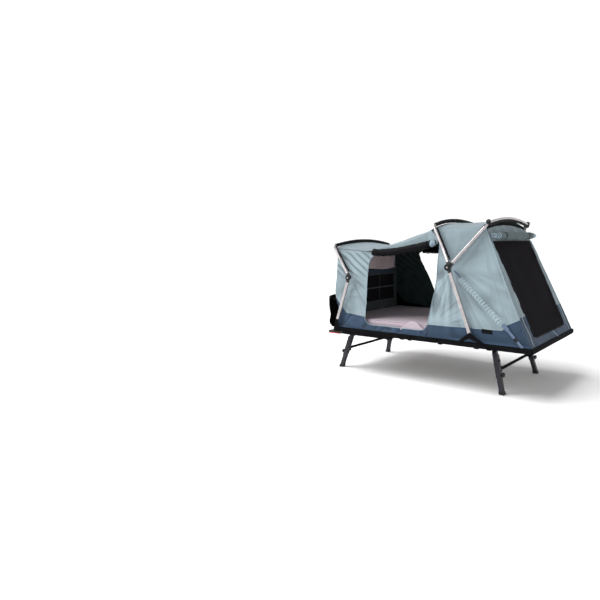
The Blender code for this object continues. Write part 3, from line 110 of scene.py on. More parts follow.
def wall_half(station, height):
    """Half the width of the tent at a station and height: upright at the hem, then leaning in."""
    eave = reading(EAVE_HEIGHTS, station)
    top = reading(EAVE_HALVES, station)
    low = np.interp(height, (SEAM, WAIST), (HEM_HALF, WAIST_HALF))
    share = np.clip((height - WAIST) / (eave - WAIST), 0, 1)
    return np.where(height > WAIST, WAIST_HALF + (top - WAIST_HALF) * share, low)


def rear_station(height):
    """Where the sloping outer end wall stands at a height."""
    return REAR_FOOT - REAR_LEAN * (height - HEM)


print("half widths:", [round(float(wall_half(1.5, h)), 3) for h in (HEM, WAIST, 1.72)])

# %% [markdown]
# ## Camera
# The tent is seen from its near side, a little towards the outer end, from about eye height. The
# lens and the place were found by fitting known points of the frame, such as the feet and the hubs,
# to where they show in the picture.

# %% Set up the camera
EYE = Vector((2.912, -5.886, 1.587))
VIEW_RIGHT = Vector((0.76006, 0.64974, -0.01243))
VIEW_UP = Vector((-0.06189, 0.09142, 0.99389))
VIEW_BACK = VIEW_RIGHT.cross(VIEW_UP).normalized()
bpy.ops.object.camera_add(location=EYE)
camera = bpy.context.active_object
camera.name = "eye_height_camera"
camera.rotation_euler = Matrix((VIEW_RIGHT, VIEW_UP, VIEW_BACK)).transposed().to_euler()
camera.data.sensor_width = 36.0
camera.data.lens = 31.18
camera.data.clip_end = 60.0
bpy.context.scene.camera = camera
print("camera", [round(x, 2) for x in EYE], "lens", round(camera.data.lens, 2))

# %% [markdown]
# ## Floor and light
# The tent stands in a white studio. A wide pale floor takes the soft shadow under the platform, and
# a broad soft key light comes from its left and above. The sky is bright near the horizon, where
# the camera looks, and dimmer overhead, so that every fold in the cloth keeps a light and a shaded
# side.

# %% Floor, lamps and sky
bpy.ops.object.select_all(action="DESELECT")
bpy.ops.mesh.primitive_plane_add(size=60, location=(0, 0, -0.001))
floor = bpy.context.active_object
floor.name = "studio_floor"
floor_paint = bpy.data.materials.new("studio_floor_paint")
floor_paint.use_nodes = True
floor_sockets = floor_paint.node_tree.nodes["Principled BSDF"].inputs
floor_sockets["Base Color"].default_value = (0.98, 0.98, 0.98, 1)
floor_sockets["Roughness"].default_value = 0.9
floor_sockets["Specular IOR Level"].default_value = 0.1
floor.data.materials.append(floor_paint)


def add_lamp(kind, name, place, way, energy):
    """A lamp at a place that shines along a way."""
    bpy.ops.object.light_add(type=kind, location=place)
    lamp = bpy.context.active_object
    lamp.name = name
    lamp.data.energy = energy
    lamp.rotation_euler = Vector(way).to_track_quat("-Z", "Y").to_euler()
    return lamp.data


add_lamp("AREA", "near_left_softbox", (-3.6, -4.6, 3.2), (3.6, 4.6, -2.3), 60).size = 1.6
add_lamp("SUN", "soft_key", (-3, -3, 6), (2.4, 1.7, -4.2), 3.7).angle = math.radians(48)

SKY_LOW, SKY_HIGH, BRIGHT_SKY, DIM_SKY = 0.40, 0.60, 1.04, 0.26
sky = bpy.data.worlds.new("studio_sky")
sky.use_nodes = True
nodes, links = sky.node_tree.nodes, sky.node_tree.links
way, height = nodes.new("ShaderNodeTexCoord"), nodes.new("ShaderNodeSeparateXYZ")
fade, background = nodes.new("ShaderNodeMapRange"), nodes["Background"]
for socket, value in (("From Min", SKY_LOW), ("From Max", SKY_HIGH), ("To Min", BRIGHT_SKY),
                      ("To Max", DIM_SKY)):
    fade.inputs[socket].default_value = value
links.new(way.outputs["Generated"], height.inputs[0])
links.new(height.outputs["Z"], fade.inputs["Value"])
links.new(fade.outputs[0], background.inputs["Strength"])
background.inputs["Color"].default_value = (1.0, 1.0, 1.0, 1)
bpy.context.scene.world = sky
bpy.context.scene.view_settings.view_transform = "Standard"

# %% [markdown]
# ## Tools for cloth
# A tent wall is one flat cut of cloth pulled over a curved frame. It could be drawn with a few
# large faces, but then no fold can form in it. Here each panel starts as a fine grid, every point
# of the grid is moved to its place on the wall, and folds are pressed in afterwards along the
# surface's own direction, as fingers would. The grid's flat map is kept in metres, so that the
# weave has one size.


def nothing_selected():
    if bpy.context.object and bpy.context.object.mode != "OBJECT":
        bpy.ops.object.mode_set(mode="OBJECT")
    bpy.ops.object.select_all(action="DESELECT")


def only(piece):
    nothing_selected()
    piece.select_set(True)
    bpy.context.view_layer.objects.active = piece


def edit(piece, step, **settings):
    """Do one step of modelling on a whole piece."""
    only(piece)
    bpy.ops.object.mode_set(mode="EDIT")
    bpy.ops.mesh.select_all(action="SELECT")
    step(**settings)
    bpy.ops.object.mode_set(mode="OBJECT")


def vectors_of(piece, field):
    flat = np.empty(len(piece.data.vertices) * 3)
    piece.data.vertices.foreach_get(field, flat)
    return flat.reshape(-1, 3)


def points_of(piece):
    return vectors_of(piece, "co")


def move_points(piece, points):
    piece.data.vertices.foreach_set("co", np.asarray(points, float).ravel())
    piece.data.update()


def stations_of(points):
    """Columns of station, side and height of a list of points."""
    return points[:, 0] + MIDDLE, points[:, 1], points[:, 2]


def cloth_grid(name, across, up, size, shape, inside):
    """A grid of cloth whose points go to shape(u, v), for u and v from 0 to 1, facing outwards."""
    nothing_selected()
    bpy.ops.mesh.primitive_grid_add(x_subdivisions=across, y_subdivisions=up, size=2)
    cloth = bpy.context.active_object
    cloth.name = cloth.data.name = name
    flat = points_of(cloth)[:, :2] / 2 + 0.5
    move_points(cloth, shape(flat[:, 0], flat[:, 1]))
    layer = cloth.data.uv_layers.active
    uv = np.empty(len(layer.data) * 2)
    layer.data.foreach_get("uv", uv)
    layer.data.foreach_set("uv", (uv.reshape(-1, 2) * np.asarray(size)).ravel())
    if np.sum(vectors_of(cloth, "normal") * (points_of(cloth) - np.asarray(inside))) < 0:
        edit(cloth, bpy.ops.mesh.flip_normals)
    return cloth


def press(cloth, depth):
    """Push each point out by its own depth, along the cloth's own direction there."""
    normals = vectors_of(cloth, "normal")
    move_points(cloth, points_of(cloth) + normals * np.asarray(depth)[:, None])


def store(cloth, name, values):
    """Keep one number for each point, for the shader to read."""
    layer = cloth.data.attributes.new(name, "FLOAT", "POINT")
    layer.data.foreach_set("value", np.ravel(values))


def fold_in(cloth, depth, across):
    """Press folds into a grid, and store where they lie: -1 on a ridge, 1 in a groove."""
    field = np.asarray(depth, float).reshape(-1, across + 1)
    near = field
    for axis, last in enumerate(s - 1 for s in field.shape):
        reach = min(9, (last + 1) // 3)
        rows = [np.clip(np.arange(last + 1) + s, 0, last) for s in range(-reach, reach + 1, 2)]
        near = np.mean([np.take(near, row, axis=axis) for row in rows], axis=0)
    # This groove field is the mask for the painted shade in the grooves and the painted highlight
    # on the ridges.
    store(cloth, "groove", np.clip((near - field) / 0.0045, -1, 1))
    press(cloth, depth)


def give_thickness(cloth, thickness, offset=-1.0, inside=0):
    only(cloth)
    wall = cloth.modifiers.new("thickness", "SOLIDIFY")
    wall.thickness = thickness
    wall.offset = offset
    wall.material_offset = inside
    bpy.ops.object.modifier_apply(modifier=wall.name)
    bpy.ops.object.shade_smooth()


# %% [markdown]
# ## Where folds come from
# Cloth folds where it is pulled. From a point that pulls, such as a hub, folds run outwards like
# the ribs of a fan, narrow at the hub and wide at the hem. Between such fans the cloth is never
# quite flat either: it has broad shallow hollows and small dents. Both are written as simple
# formulas, a fan of waves in the angle about the hub and a smooth random field, so every run gives
# the same folds.

# %% Fields that shape folds
def ripple(points, size, seed=0):
    """Smooth random numbers from -1 to 1, whose hollows are about size apart."""
    place = np.asarray(points, float) / size + seed * 17.31
    cell = np.floor(place)
    part = place - cell
    part = part * part * (3 - 2 * part)
    total = np.zeros(len(place))
    for corner in itertools.product((0, 1), repeat=place.shape[1]):
        key = (cell + corner) @ np.array((127.1, 311.7, 74.7))[: place.shape[1]]
        value = np.mod(np.sin(np.mod(key, 1000.0)) * 43758.5453, 1.0) * 2 - 1
        total += value * np.prod(np.where(np.array(corner) == 1, part, 1 - part), axis=1)
    return total


def rise(x, low, high):
    """0 below low, 1 above high, and a smooth step between them. With high below low it falls."""
    share = np.clip((np.asarray(x, float) - low) / (high - low), 0, 1)
    return share * share * (3 - 2 * share)


def fan(x, z, centre, count, near, far, seed=0, sharp=1.6):
    """Waves about a point that pulls the cloth: 0 to 1, fading near it and far from it."""
    dx, dz = x - centre[0], z - centre[1]
    angle = np.arctan2(dx, -dz)
    distance = np.hypot(dx, dz)
    wander = ripple(np.stack((angle * 2.2, distance * 2.5), axis=1), 1.0, seed)
    phase = angle * count + 2.6 * wander
    wave = 0.55 * (0.5 + 0.5 * np.sin(phase))
    wave += 0.45 * (1 - np.abs(np.sin(phase / 2 + 0.7))) ** 1.6
    uneven = ripple(np.stack((angle * 4.0, distance * 1.5), axis=1), 1.0, seed + 5)
    fade = rise(distance, near * 0.3, near) * rise(distance, far, far * 0.55)
    return wave ** sharp * (0.55 + 0.45 * uneven) * fade


def fan_pair(first, second, centre, count, near, far, seeds):
    """The sum of two fans about points that mirror each other across the tent."""
    return sum(fan(*way, centre, count, near, far, seed)
               for way, seed in zip((first, second), seeds))


def creases(points, direction, width, length, seed=0):
    """Long narrow ridges along a direction, sharp at their tops, from 0 to 1."""
    along = np.asarray(direction, float)
    along = along / np.linalg.norm(along)
    run = points @ along
    cross = points - np.outer(run, along)
    cross = cross + 0.02 * ripple(points, 0.12, seed + 3)[:, None]
    field = ripple(cross / width + (run / length)[:, None] * along, 1.0, seed)
    return np.clip(1 - np.abs(field) * 2.4, 0, 1) ** 2


# %% [markdown]
# ## Sweeping a shape along a line
# Piping, zips, webbing, the sleeves over the bows and the rolled flaps are all one outline carried
# along a line. A curve with a bevel shape could do it, but it turns the outline on the way. Here
# the outline is carried with a steady idea of which way is out, its ends are closed, and it stays a
# plain mesh that can be creased like the rest.

# %% The sweep
UP, MERGE = (0, 0, 1), 0.00002


def lengths_along(points):
    """How far each point of a line lies along it."""
    return np.append(0, np.cumsum(np.linalg.norm(np.diff(points, axis=0), axis=1)))


def unit_rows(vectors):
    return vectors / np.linalg.norm(vectors, axis=1)[:, None]


def sweep(name, path, outline, out):
    """Carry a closed outline of (sideways, outwards) pairs along a path of points."""
    path = np.asarray([tuple(p) for p in path], float)
    outline = np.asarray(outline, float)
    outline = np.vstack((outline, outline[:1]))
    tangent = unit_rows(np.gradient(path, axis=0))
    side = unit_rows(np.cross(np.broadcast_to(np.asarray(out, float), path.shape), tangent))
    outward = np.cross(tangent, side)
    steps, turns = len(path) - 1, len(outline) - 1

    def shape(u, v):
        i = np.rint(u * steps).astype(int)
        j = np.rint(v * turns).astype(int)
        return path[i] + side[i] * outline[j, :1] + outward[i] * outline[j, 1:]

    size = (lengths_along(path)[-1], lengths_along(outline)[-1])
    strip = cloth_grid(name, steps, turns, size, shape, path.mean(axis=0))
    close_up(strip)
    return strip


def fill_ends():
    bpy.ops.mesh.select_all(action="DESELECT")
    bpy.ops.mesh.select_non_manifold()
    bpy.ops.mesh.fill_holes(sides=0)


def close_up(strip):
    """Join the two edges of a closed outline, fill the ends and make the faces point outwards."""
    edit(strip, bpy.ops.mesh.remove_doubles, threshold=MERGE)
    edit(strip, fill_ends)
    edit(strip, bpy.ops.mesh.normals_make_consistent, inside=False)
    bpy.ops.object.shade_smooth_by_angle(angle=math.radians(40))


def ring(radius, height=None, count=8):
    """A closed outline, round or oval."""
    angles = np.linspace(0, 2 * math.pi, count, endpoint=False)
    return [(radius * math.cos(a), (height or radius) * math.sin(a)) for a in angles]


def flat_band(width, thickness):
    """A closed outline of webbing or tape, lying flat, with its lower face on the line."""
    w, t = width / 2, thickness
    e = min(t * 0.45, w * 0.3)
    return [(-w, e), (-w + e, 0), (w - e, 0), (w, e),
            (w, t - e), (w - e, t), (-w + e, t), (-w, t - e)]


def smooth_line(points, count):
    """A smooth line of count points through a few given ones."""
    points = np.asarray([tuple(p) for p in points], float)
    padded = np.vstack((2 * points[0] - points[1], points, 2 * points[-1] - points[-2]))
    lengths = lengths_along(points)
    line = []
    for s in np.linspace(0, lengths[-1], count):
        k = min(int(np.searchsorted(lengths, s, side="right")) - 1, len(points) - 2)
        t = (s - lengths[k]) / (lengths[k + 1] - lengths[k])
        a, b, c, d = padded[k : k + 4]
        bend, twist = 2 * a - 5 * b + 4 * c - d, 3 * b - a - 3 * c + d
        line.append(0.5 * (2 * b + (c - a) * t + bend * t * t + twist * t ** 3))
    return np.array(line)


# %% [markdown]
# ## Finishes
# Each finish is a small recipe of shader nodes. Cloth gets its tone from a slow change over the
# panel and a quick one from thread to thread, and its surface from the weave, which reads the flat
# map in metres, and from small dents. Metal and plastic read the place on the object itself. No
# picture is used, so a finish is as sharp close up as far away.

# %% A recipe of shader nodes
class Recipe:
    def __init__(self, name, colour, roughness, metallic=0.0, specular=0.5):
        self.material = bpy.data.materials.new(name)
        self.material.use_nodes = True
        self.material.diffuse_color = (*colour, 1)
        self.tree = self.material.node_tree
        self.shader = self.tree.nodes["Principled BSDF"]
        self.set("Base Color", (*colour, 1))
        self.set("Roughness", roughness)
        self.set("Metallic", metallic)
        self.set("Specular IOR Level", specular)
        self.where = self.add("TexCoord").outputs

    def set(self, socket, value):
        self.connect(self.shader.inputs[socket], value)

    def connect(self, socket, value):
        if isinstance(value, bpy.types.NodeSocket):
            self.tree.links.new(value, socket)
        else:
            socket.default_value = value

    def colour_now(self):
        """The socket that feeds the shader's colour so far."""
        return self.shader.inputs["Base Color"].links[0].from_socket

    def add(self, kind, values=None, **settings):
        node = self.tree.nodes.new("ShaderNode" + kind)
        for name, setting in settings.items():
            setattr(node, name, setting)
        for name, value in (values or {}).items():
            self.connect(node.inputs[name], value)
        return node

    def sum(self, operation, first, second=0.0):
        return self.add("Math", {0: first, 1: second}, operation=operation).outputs[0]

    def spread(self, value, low, high, start=0.0):
        """Stretch a value that runs from start to 1, so that it runs from low to high."""
        values = {"Value": value, "From Min": start, "To Min": low, "To Max": high}
        return self.add("MapRange", values).outputs[0]

    def noise(self, scale, detail=3.0, rough=0.5, place=None, distortion=0.0):
        values = {"Vector": place or self.where["Object"], "Scale": scale, "Detail": detail,
                  "Roughness": rough, "Distortion": distortion}
        return self.add("TexNoise", values).outputs["Fac"]

    def ramp(self, factor, stops):
        node = self.add("ValToRGB", {"Fac": factor})
        marks = node.color_ramp.elements
        for mark, (position, colour) in zip(marks, stops):
            mark.position = position
            mark.color = (*colour, 1)
        return node.outputs["Color"]

    def shades(self, factor, colour, low, dark, high, light):
        """One colour that goes from a dark to a light shade between two readings of a factor."""
        return self.ramp(factor, ((low, shade(colour, dark)), (high, shade(colour, light))))

    def blend(self, factor, first, second):
        colours = [c if isinstance(c, bpy.types.NodeSocket) else (*c, 1) for c in (first, second)]
        values = {0: factor, 6: colours[0], 7: colours[1]}
        return self.add("Mix", values, data_type="RGBA").outputs[2]

    def with_painted_fold_shade(self, colour, ridge_highlight):
        """Scale a colour by the fold field: painted shade in the grooves of the folds, painted
        highlight on their ridges.
        """
        groove = self.add("Attribute", attribute_name="groove").outputs["Fac"]
        lit = self.spread(groove, ridge_highlight, 0.60, -1.0)
        return self.add("VectorMath", {0: colour, "Scale": lit}, operation="SCALE").outputs[0]

    def relief(self, height, distance, strength=1.0, under=None):
        values = {"Height": height, "Distance": distance, "Strength": strength}
        if under is not None:
            values["Normal"] = under
        return self.add("Bump", values).outputs["Normal"]


def shade(colour, factor):
    return tuple(min(1.0, c * factor) for c in colour)


# %% Woven cloth
THREADS_PER_WAVE = 0.314


def weave_of(recipe, pitch):
    """The height of a plain weave: threads each way, in the flat map's metres."""
    values = {"Vector": recipe.where["UV"], "Scale": THREADS_PER_WAVE / pitch, "Distortion": 0.6,
              "Detail": 1.0, "Detail Scale": 4.0}
    threads = [recipe.add("TexWave", values, bands_direction=way).outputs["Fac"] for way in "XY"]
    return recipe.sum("MAXIMUM", *threads)


# The tone also follows how deep the cloth lies there: painted shade darkens the grooves between
# folds, and a painted highlight lightens their ridges.
def woven(name, colour, pitch=0.0016, roughness=0.78, spread=0.14, dents=0.0024, sheen=0.10):
    """Cloth in one colour, a little uneven, with a weave and small dents."""
    cloth = Recipe(name, colour, roughness, specular=0.08 if max(colour) < 0.02 else 0.25)
    slow = cloth.noise(2.4, 4.0, 0.55, distortion=0.4)
    tone = cloth.shades(slow, colour, 0.30, 1 - spread, 0.72, 1 + spread)
    threads = cloth.shades(cloth.noise(210.0, 2.0, 0.6), colour, 0.25, 0.80, 0.80, 1.16)
    # Painted fold shade and highlight: darker in the grooves, lighter on the ridges.
    cloth.set("Base Color", cloth.with_painted_fold_shade(cloth.blend(0.35, tone, threads), 1.10))
    cloth.set("Roughness", cloth.spread(slow, roughness - 0.08, roughness + 0.10))
    crumple = cloth.relief(cloth.noise(13.0, 5.0, 0.58, distortion=0.7), dents * 2, 0.55)
    cloth.set("Normal", cloth.relief(weave_of(cloth, pitch), 0.00025, 0.5, crumple))
    cloth.set("Sheen Weight", sheen)
    cloth.set("Sheen Roughness", 0.5)
    return cloth


LIGHT_BLUE, DARK_BLUE = (0.245, 0.312, 0.345), (0.027, 0.053, 0.095)
canopy_cloth = woven("canopy_cloth_light", LIGHT_BLUE).material
skirt_cloth = woven("skirt_cloth_dark", DARK_BLUE, roughness=0.7, spread=0.18).material
roll_cloth = woven("window_cover_cloth", (0.068, 0.105, 0.108), dents=0.002).material
black_cloth = woven("black_cloth", (0.0040, 0.0038, 0.0052), roughness=0.62, spread=0.3,
                    dents=0.003, sheen=0.0).material
# The canopy's inside face is coloured dark: painted shade for the inside of the tent, which lies in
# shade.
canopy_inside_shade_cloth = woven("canopy_inside_painted_shade", (0.030, 0.047, 0.046), roughness=0.85,
                     sheen=0.0).material
pleat_cloth = woven("pleated_curtain_cloth", (0.74, 0.62, 0.64), roughness=0.85).material
green_lining = woven("grey_green_lining", (0.072, 0.088, 0.092), roughness=0.85).material
mattress_cloth = woven("mattress_cover_cloth", (0.46, 0.385, 0.44), 0.0022, 0.9, spread=0.05,
                       dents=0.001).material
webbing = woven("blue_webbing", (0.115, 0.165, 0.250), 0.0030, 0.7, dents=0.0002).material
black_webbing = woven("black_webbing", (0.0065, 0.0065, 0.008), 0.0030, 0.65, dents=0.0002,
                      sheen=0.0).material
piping_cloth = woven("piping_cloth", (0.27, 0.36, 0.43), 0.0012, 0.65, dents=0.0002).material

# %% [markdown]
# A panel in two colours is one cut sewn to another. The sewing line is stored on the cloth's points
# as a distance, above or below it, and the shader turns that distance into a sharp change of colour
# with a lighter row of stitches beside it.

# %% Cloth in two colours, with the sewing line between them
STITCH_ROW, STITCH_HALF_WIDTH = 0.006, 0.0012


def two_tone(name, above, below):
    cloth = woven(name, above)
    line = cloth.add("Attribute", attribute_name="sewing_line").outputs["Fac"]
    low = cloth.shades(cloth.noise(2.4, 4.0, 0.55), below, 0.30, 0.84, 0.72, 1.18)
    # The dark cloth below the sewing line gets the same painted shade in grooves and painted
    # highlight on ridges.
    low = cloth.with_painted_fold_shade(low, 1.15)
    stitched = cloth.blend(cloth.sum("GREATER_THAN", line, 0.0), low, cloth.colour_now())
    gap = cloth.sum("ABSOLUTE", cloth.sum("SUBTRACT", line, STITCH_ROW))
    row = cloth.sum("MULTIPLY", cloth.sum("LESS_THAN", gap, STITCH_HALF_WIDTH), 0.5)
    cloth.set("Base Color", cloth.blend(row, stitched, shade(above, 1.35)))
    return cloth.material


end_wall_cloth = two_tone("end_wall_cloth", LIGHT_BLUE, DARK_BLUE)

# %% Window net
def netting(name, colour, pitch=0.0035):
    net = Recipe(name, colour, 0.75, specular=0.02)
    height = weave_of(net, pitch)
    net.set("Base Color", net.shades(height, colour, 0.35, 0.55, 0.95, 1.7))
    net.set("Normal", net.relief(height, 0.0006, 0.7, net.relief(net.noise(5.0), 0.003, 0.3)))
    return net.material


window_net = netting("window_net", (0.0048, 0.0040, 0.0058))
pocket_net = netting("pocket_net", (0.010, 0.009, 0.011), 0.005)

# %% Painted metal, bare aluminium and moulded plastic
HUB_SOCKET, SOCKET_BLACK = 0.062, (0.016, 0.016, 0.018)
FOOT_HEIGHT, FOOT_BLACK = 0.035, (0.012, 0.012, 0.013)


def painted(name, colour, roughness, scuffed=1.8, metallic=0.25, specular=0.5):
    """Paint with scuffed patches and a fine grain."""
    paint = Recipe(name, colour, roughness, metallic, specular)
    wear = paint.noise(9.0, 6.0, 0.65)
    paint.set("Base Color", paint.shades(wear, colour, 0.42, 1, 0.74, scuffed))
    paint.set("Roughness", paint.spread(wear, roughness - 0.10, roughness + 0.16))
    paint.set("Normal", paint.relief(paint.noise(420.0, 2.0), 0.0002, 0.35))
    return paint


def silver_tube(name, hub):
    """Drawn aluminium with faint lines along it, and a black socket round its hub."""
    colour = (0.46, 0.43, 0.436)
    metal = Recipe(name, colour, 0.34, 0.9)
    drawn = metal.add("Mapping", {"Vector": metal.where["Object"], "Scale": (60, 500, 60)})
    streaks = metal.noise(2.0, 4.0, 0.6, place=drawn.outputs[0])
    bright = metal.shades(metal.noise(16.0, 5.0, 0.6), colour, 0.35, 0.82, 0.70, 1.12)
    metal.set("Normal", metal.relief(streaks, 0.0001, 0.3))
    flat = metal.add("VectorMath", {0: metal.where["Object"], 1: (1, 0, 1)}, operation="MULTIPLY")
    centre = {0: flat.outputs[0], 1: (hub[0] - MIDDLE, 0, hub[1])}
    gap = metal.add("VectorMath", centre, operation="DISTANCE").outputs["Value"]
    socket = metal.sum("LESS_THAN", gap, HUB_SOCKET)
    metal.set("Base Color", metal.blend(socket, bright, SOCKET_BLACK))
    metal.set("Metallic", metal.sum("SUBTRACT", 0.9, metal.sum("MULTIPLY", socket, 0.9)))
    in_socket = metal.sum("MULTIPLY", socket, 0.5)
    metal.set("Roughness", metal.sum("MAXIMUM", metal.spread(streaks, 0.24, 0.48), in_socket))
    return metal.material


rail_paint = painted("rail_black_paint", (0.0045, 0.0045, 0.0052), 0.72, 1.8, 0.0, 0.02).material
leg_paint = painted("leg_grey_paint", (0.019, 0.0185, 0.025), 0.5, 1.4, 0.0, 0.25)
height = leg_paint.add("SeparateXYZ", {0: leg_paint.where["Object"]}).outputs["Z"]
is_foot = leg_paint.sum("LESS_THAN", height, FOOT_HEIGHT)
leg_paint.set("Base Color", leg_paint.blend(is_foot, leg_paint.colour_now(), FOOT_BLACK))
leg_paint = leg_paint.material
deck_board = painted("deck_board", (0.09, 0.08, 0.07), 0.7).material
bolt_steel = painted("bolt_steel", (0.32, 0.31, 0.31), 0.3, metallic=0.95).material

PLASTIC = (0.0065, 0.0065, 0.0072)
black_plastic = Recipe("black_plastic", PLASTIC, 0.5, specular=0.25)
mottle = black_plastic.noise(7.0, 4.0)
black_plastic.set("Base Color", black_plastic.shades(mottle, PLASTIC, 0.3, 0.8, 0.8, 1.5))
black_plastic.set("Normal", black_plastic.relief(black_plastic.noise(650.0, 2.0), 0.00015, 0.5))
black_plastic = black_plastic.material

lens_red = Recipe("lamp_lens_red", (0.45, 0.012, 0.016), 0.12)
ribs = lens_red.add("TexWave", {"Vector": lens_red.where["Object"], "Scale": 45.0},
                    bands_direction="Y").outputs["Fac"]
lens_red.set("Base Color", lens_red.ramp(ribs, ((0.2, (0.30, 0.006, 0.010)),
                                                (0.9, (0.60, 0.02, 0.024)))))
lens_red.set("Normal", lens_red.relief(ribs, 0.0008, 0.6))
lens_red.set("Coat Weight", 0.6)
lens_red = lens_red.material

# %% Put the finishes on the solids that stay
FINISHES = (
    (("rails", "crossbar", "bracket", "chassis_frame", "hitch_tongue"), rail_paint),
    (("upper_leg", "lower_leg"), leg_paint),
    (("hub", "knob", "lamp_bar", "buckle", "tow_cover_sheet"), black_plastic),
    (("lens",), lens_red),
    (("deck",), deck_board),
)


def wear(node, material):
    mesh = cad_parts[node].data
    mesh.materials.clear()
    mesh.materials.append(material)


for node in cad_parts:
    fitting = [finish for words, finish in FINISHES if any(word in node for word in words)]
    if fitting:
        wear(node, fitting[0])
for end, hub in (("tow", TOW_HUB), ("outer", OUTER_HUB)):
    metal = silver_tube(end + "_pole_metal", hub)
    for _, name in SIDES:
        wear(end + "_pole_" + name, metal)
for bow, hub in (("front", TOW_HUB), ("mid", OUTER_HUB), ("rear", OUTER_HUB)):
    wear(bow + "_bow", silver_tube(bow + "_bow_metal", hub))
print("finishes in use:", len(bpy.data.materials))

# %% [markdown]
# ## Putting a piece to work
# Every new piece moves with one of the tent's rigid sections. When the platform folds shut, real
# cloth crumples down between the sections.


def dress(piece, body, finishes, rest=None, hides=()):
    """Give a piece its finishes and let it ride on a body. With a rest height given, the piece gets
    its own copy of its mesh.
    """
    if not len(piece.data.materials):
        for finish in finishes if isinstance(finishes, list) else [finishes]:
            piece.data.materials.append(finish)
    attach(piece, body)
    if hides:
        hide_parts(*hides)
    if rest is not None:
        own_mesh(piece)
    return piece


def sew(cloth, thickness, body, finishes, rest, hides):
    """Finish a sheet of cloth: it gets its finishes, then its thickness and place."""
    for finish in finishes:
        cloth.data.materials.append(finish)
    give_thickness(cloth, thickness, inside=len(finishes) - 1)
    dress(cloth, body, finishes, rest, hides)
    return cloth


def trim(name, line, outline, out, body, finish, rest=None, hides=(), folds=None):
    """Sweep a strip along a line, press it with folds(points) where given, and dress it."""
    strip = sweep(name, line, outline, out)
    if folds:
        press(strip, folds(points_of(strip)))
    return dress(strip, body, finish, rest, hides)


# %% [markdown]
# ## The wall round the tow end
# One cut of light cloth starts at the door on one side, runs round the tow end and ends at the
# other door. Its top edge follows the roof and its lower edge is sewn to the dark skirt, whose
# sewing line climbs steeply at the corner. The pole's hub and the corner of the platform pull on
# it, so long folds run down from the hub, and short ones fan out from the corner.

# %% The tow end wall
TOW_SEAM = ((0.042, 0.900), (0.062, 0.900), (0.110, 0.790), (0.142, 0.759), (0.176, 0.729),
            (0.25, 0.722), (0.32, 0.714), (0.39, 0.706), (0.441, 0.699))
DOOR_EDGE = ((0.4445, 0.690), (0.450, 0.668), (0.462, 0.647), (0.482, 0.628), (0.510, 0.616),
             (0.550, 0.612), (1.150, 0.612), (1.192, 0.618), (1.216, 0.633), (1.234, 0.655),
             (1.243, 0.675), (1.249, 0.697))
SILL = TOW_SEAM + DOOR_EDGE
NEAR_EDGE = ((0.686, 0.444), (1.25, 0.444), (1.340, 0.450), (1.385, 0.466), (1.420, 0.497),
             (1.450, 0.560), (1.52, 0.575))
FAR_EDGE = ((0.686, 0.680), (0.90, 0.628), (1.10, 0.545), (1.30, 0.450), (1.420, 0.420),
            (1.450, 0.470), (1.52, 0.550))
WALL_END, WALL_TOP_END, END_HALF, SEAM_LAP = 0.478, 0.518, 0.745, 0.004
FLARE_FROM, FLARE_RISE, FLARE_OUT, LEAN_OUT = 1.380, 0.142, 0.017, 0.070
TOW_ACROSS = 330


def round_the_end(u, last, turn=0.012):
    """The station and the side, from -1 to 1, along the path near side, tow end, far side."""
    run = last - TOW_END
    marks = np.array((0, run, run + 2 * END_HALF, 2 * run + 2 * END_HALF))
    marks /= marks[-1]
    path = (last, TOW_END, TOW_END, last)
    reached = eased(0.0, marks, path, turn)
    stations = TOW_END + (eased(u, marks, path, turn) - TOW_END) * run / (reached - TOW_END)
    return stations, eased(u, marks, (-1, -1, 1, 1), turn)


def leaning_out(z):
    """How far the tow end wall leans out over the platform's end, growing with height."""
    return LEAN_OUT * rise(z, 0.72, 1.0)


def tow_wall_shape(u, v):
    low, side = round_the_end(u, WALL_END)
    share = (low - TOW_END) / (WALL_END - TOW_END)
    door = np.where(side < 0, NEAR_DOOR, FAR_DOOR)
    seam = reading(SILL, TOW_END + (door - TOW_END) * share, 0.006)
    top_station = ROOF_START + (WALL_TOP_END - ROOF_START) * share
    eave, ridge = reading(EAVE_HEIGHTS, top_station), reading(RIDGE_HEIGHTS, top_station)
    top = ridge + (eave - ridge) * side * side - 0.0092
    z = seam - SEAM_LAP + (top - seam + SEAM_LAP) * v
    flare = np.clip((z - FLARE_FROM) / FLARE_RISE, 0, 1)
    start = TOW_END - leaning_out(z) - FLARE_OUT * flare
    edge = np.where(side < 0, reading(NEAR_EDGE, z, 0.012), reading(FAR_EDGE, z, 0.012))
    station = start + (edge - start) * share
    return columns(station, side * (wall_half(station, z) - WALL_INSET), z)


tow_wall = cloth_grid("tow_wall", TOW_ACROSS, 104, (2.36, 0.83), tow_wall_shape, (-0.5, 0, 1.1))
points = points_of(tow_wall)
station, y, z = stations_of(points)
on_side = rise(np.abs(y) / np.maximum(wall_half(station, z), 0.1), 0.95, 0.99)
on_side *= rise(station + leaning_out(z), 0.04, 0.07)
pull = np.degrees(np.arctan2(station - TOW_HUB[0], TOW_HUB[1] - z))
slanting = rise(pull, -6, 14) * rise(pull, 98, 62)
folds = fan(station, z, TOW_HUB, 15, 0.11, 0.95, 2, 1.1) * (0.2 + 0.8 * slanting) * 0.026
folds += fan(station, z, TOW_HUB, 34, 0.10, 0.80, 7, 1.3) * slanting * 0.013
folds *= rise(z, 1.24, 1.12)
folds += fan(station, z, (0.05, 0.93), 17, 0.05, 0.42, 4, 1.5) * rise(station, 0.05, 0.10) * 0.014
folds += fan(station, z, (-0.03, 1.50), 12, 0.05, 0.42, 6) * 0.011
across = (station + 0.02) * 0.55 + (z - 1.45) * 0.835
wave = np.sin(across * 95 + 2.0 * ripple(points, 0.2, 9))
folds += np.clip(wave, 0, 1) ** 1.5 * rise(z, 1.12, 1.26) * rise(z, 1.50, 1.42) * 0.011
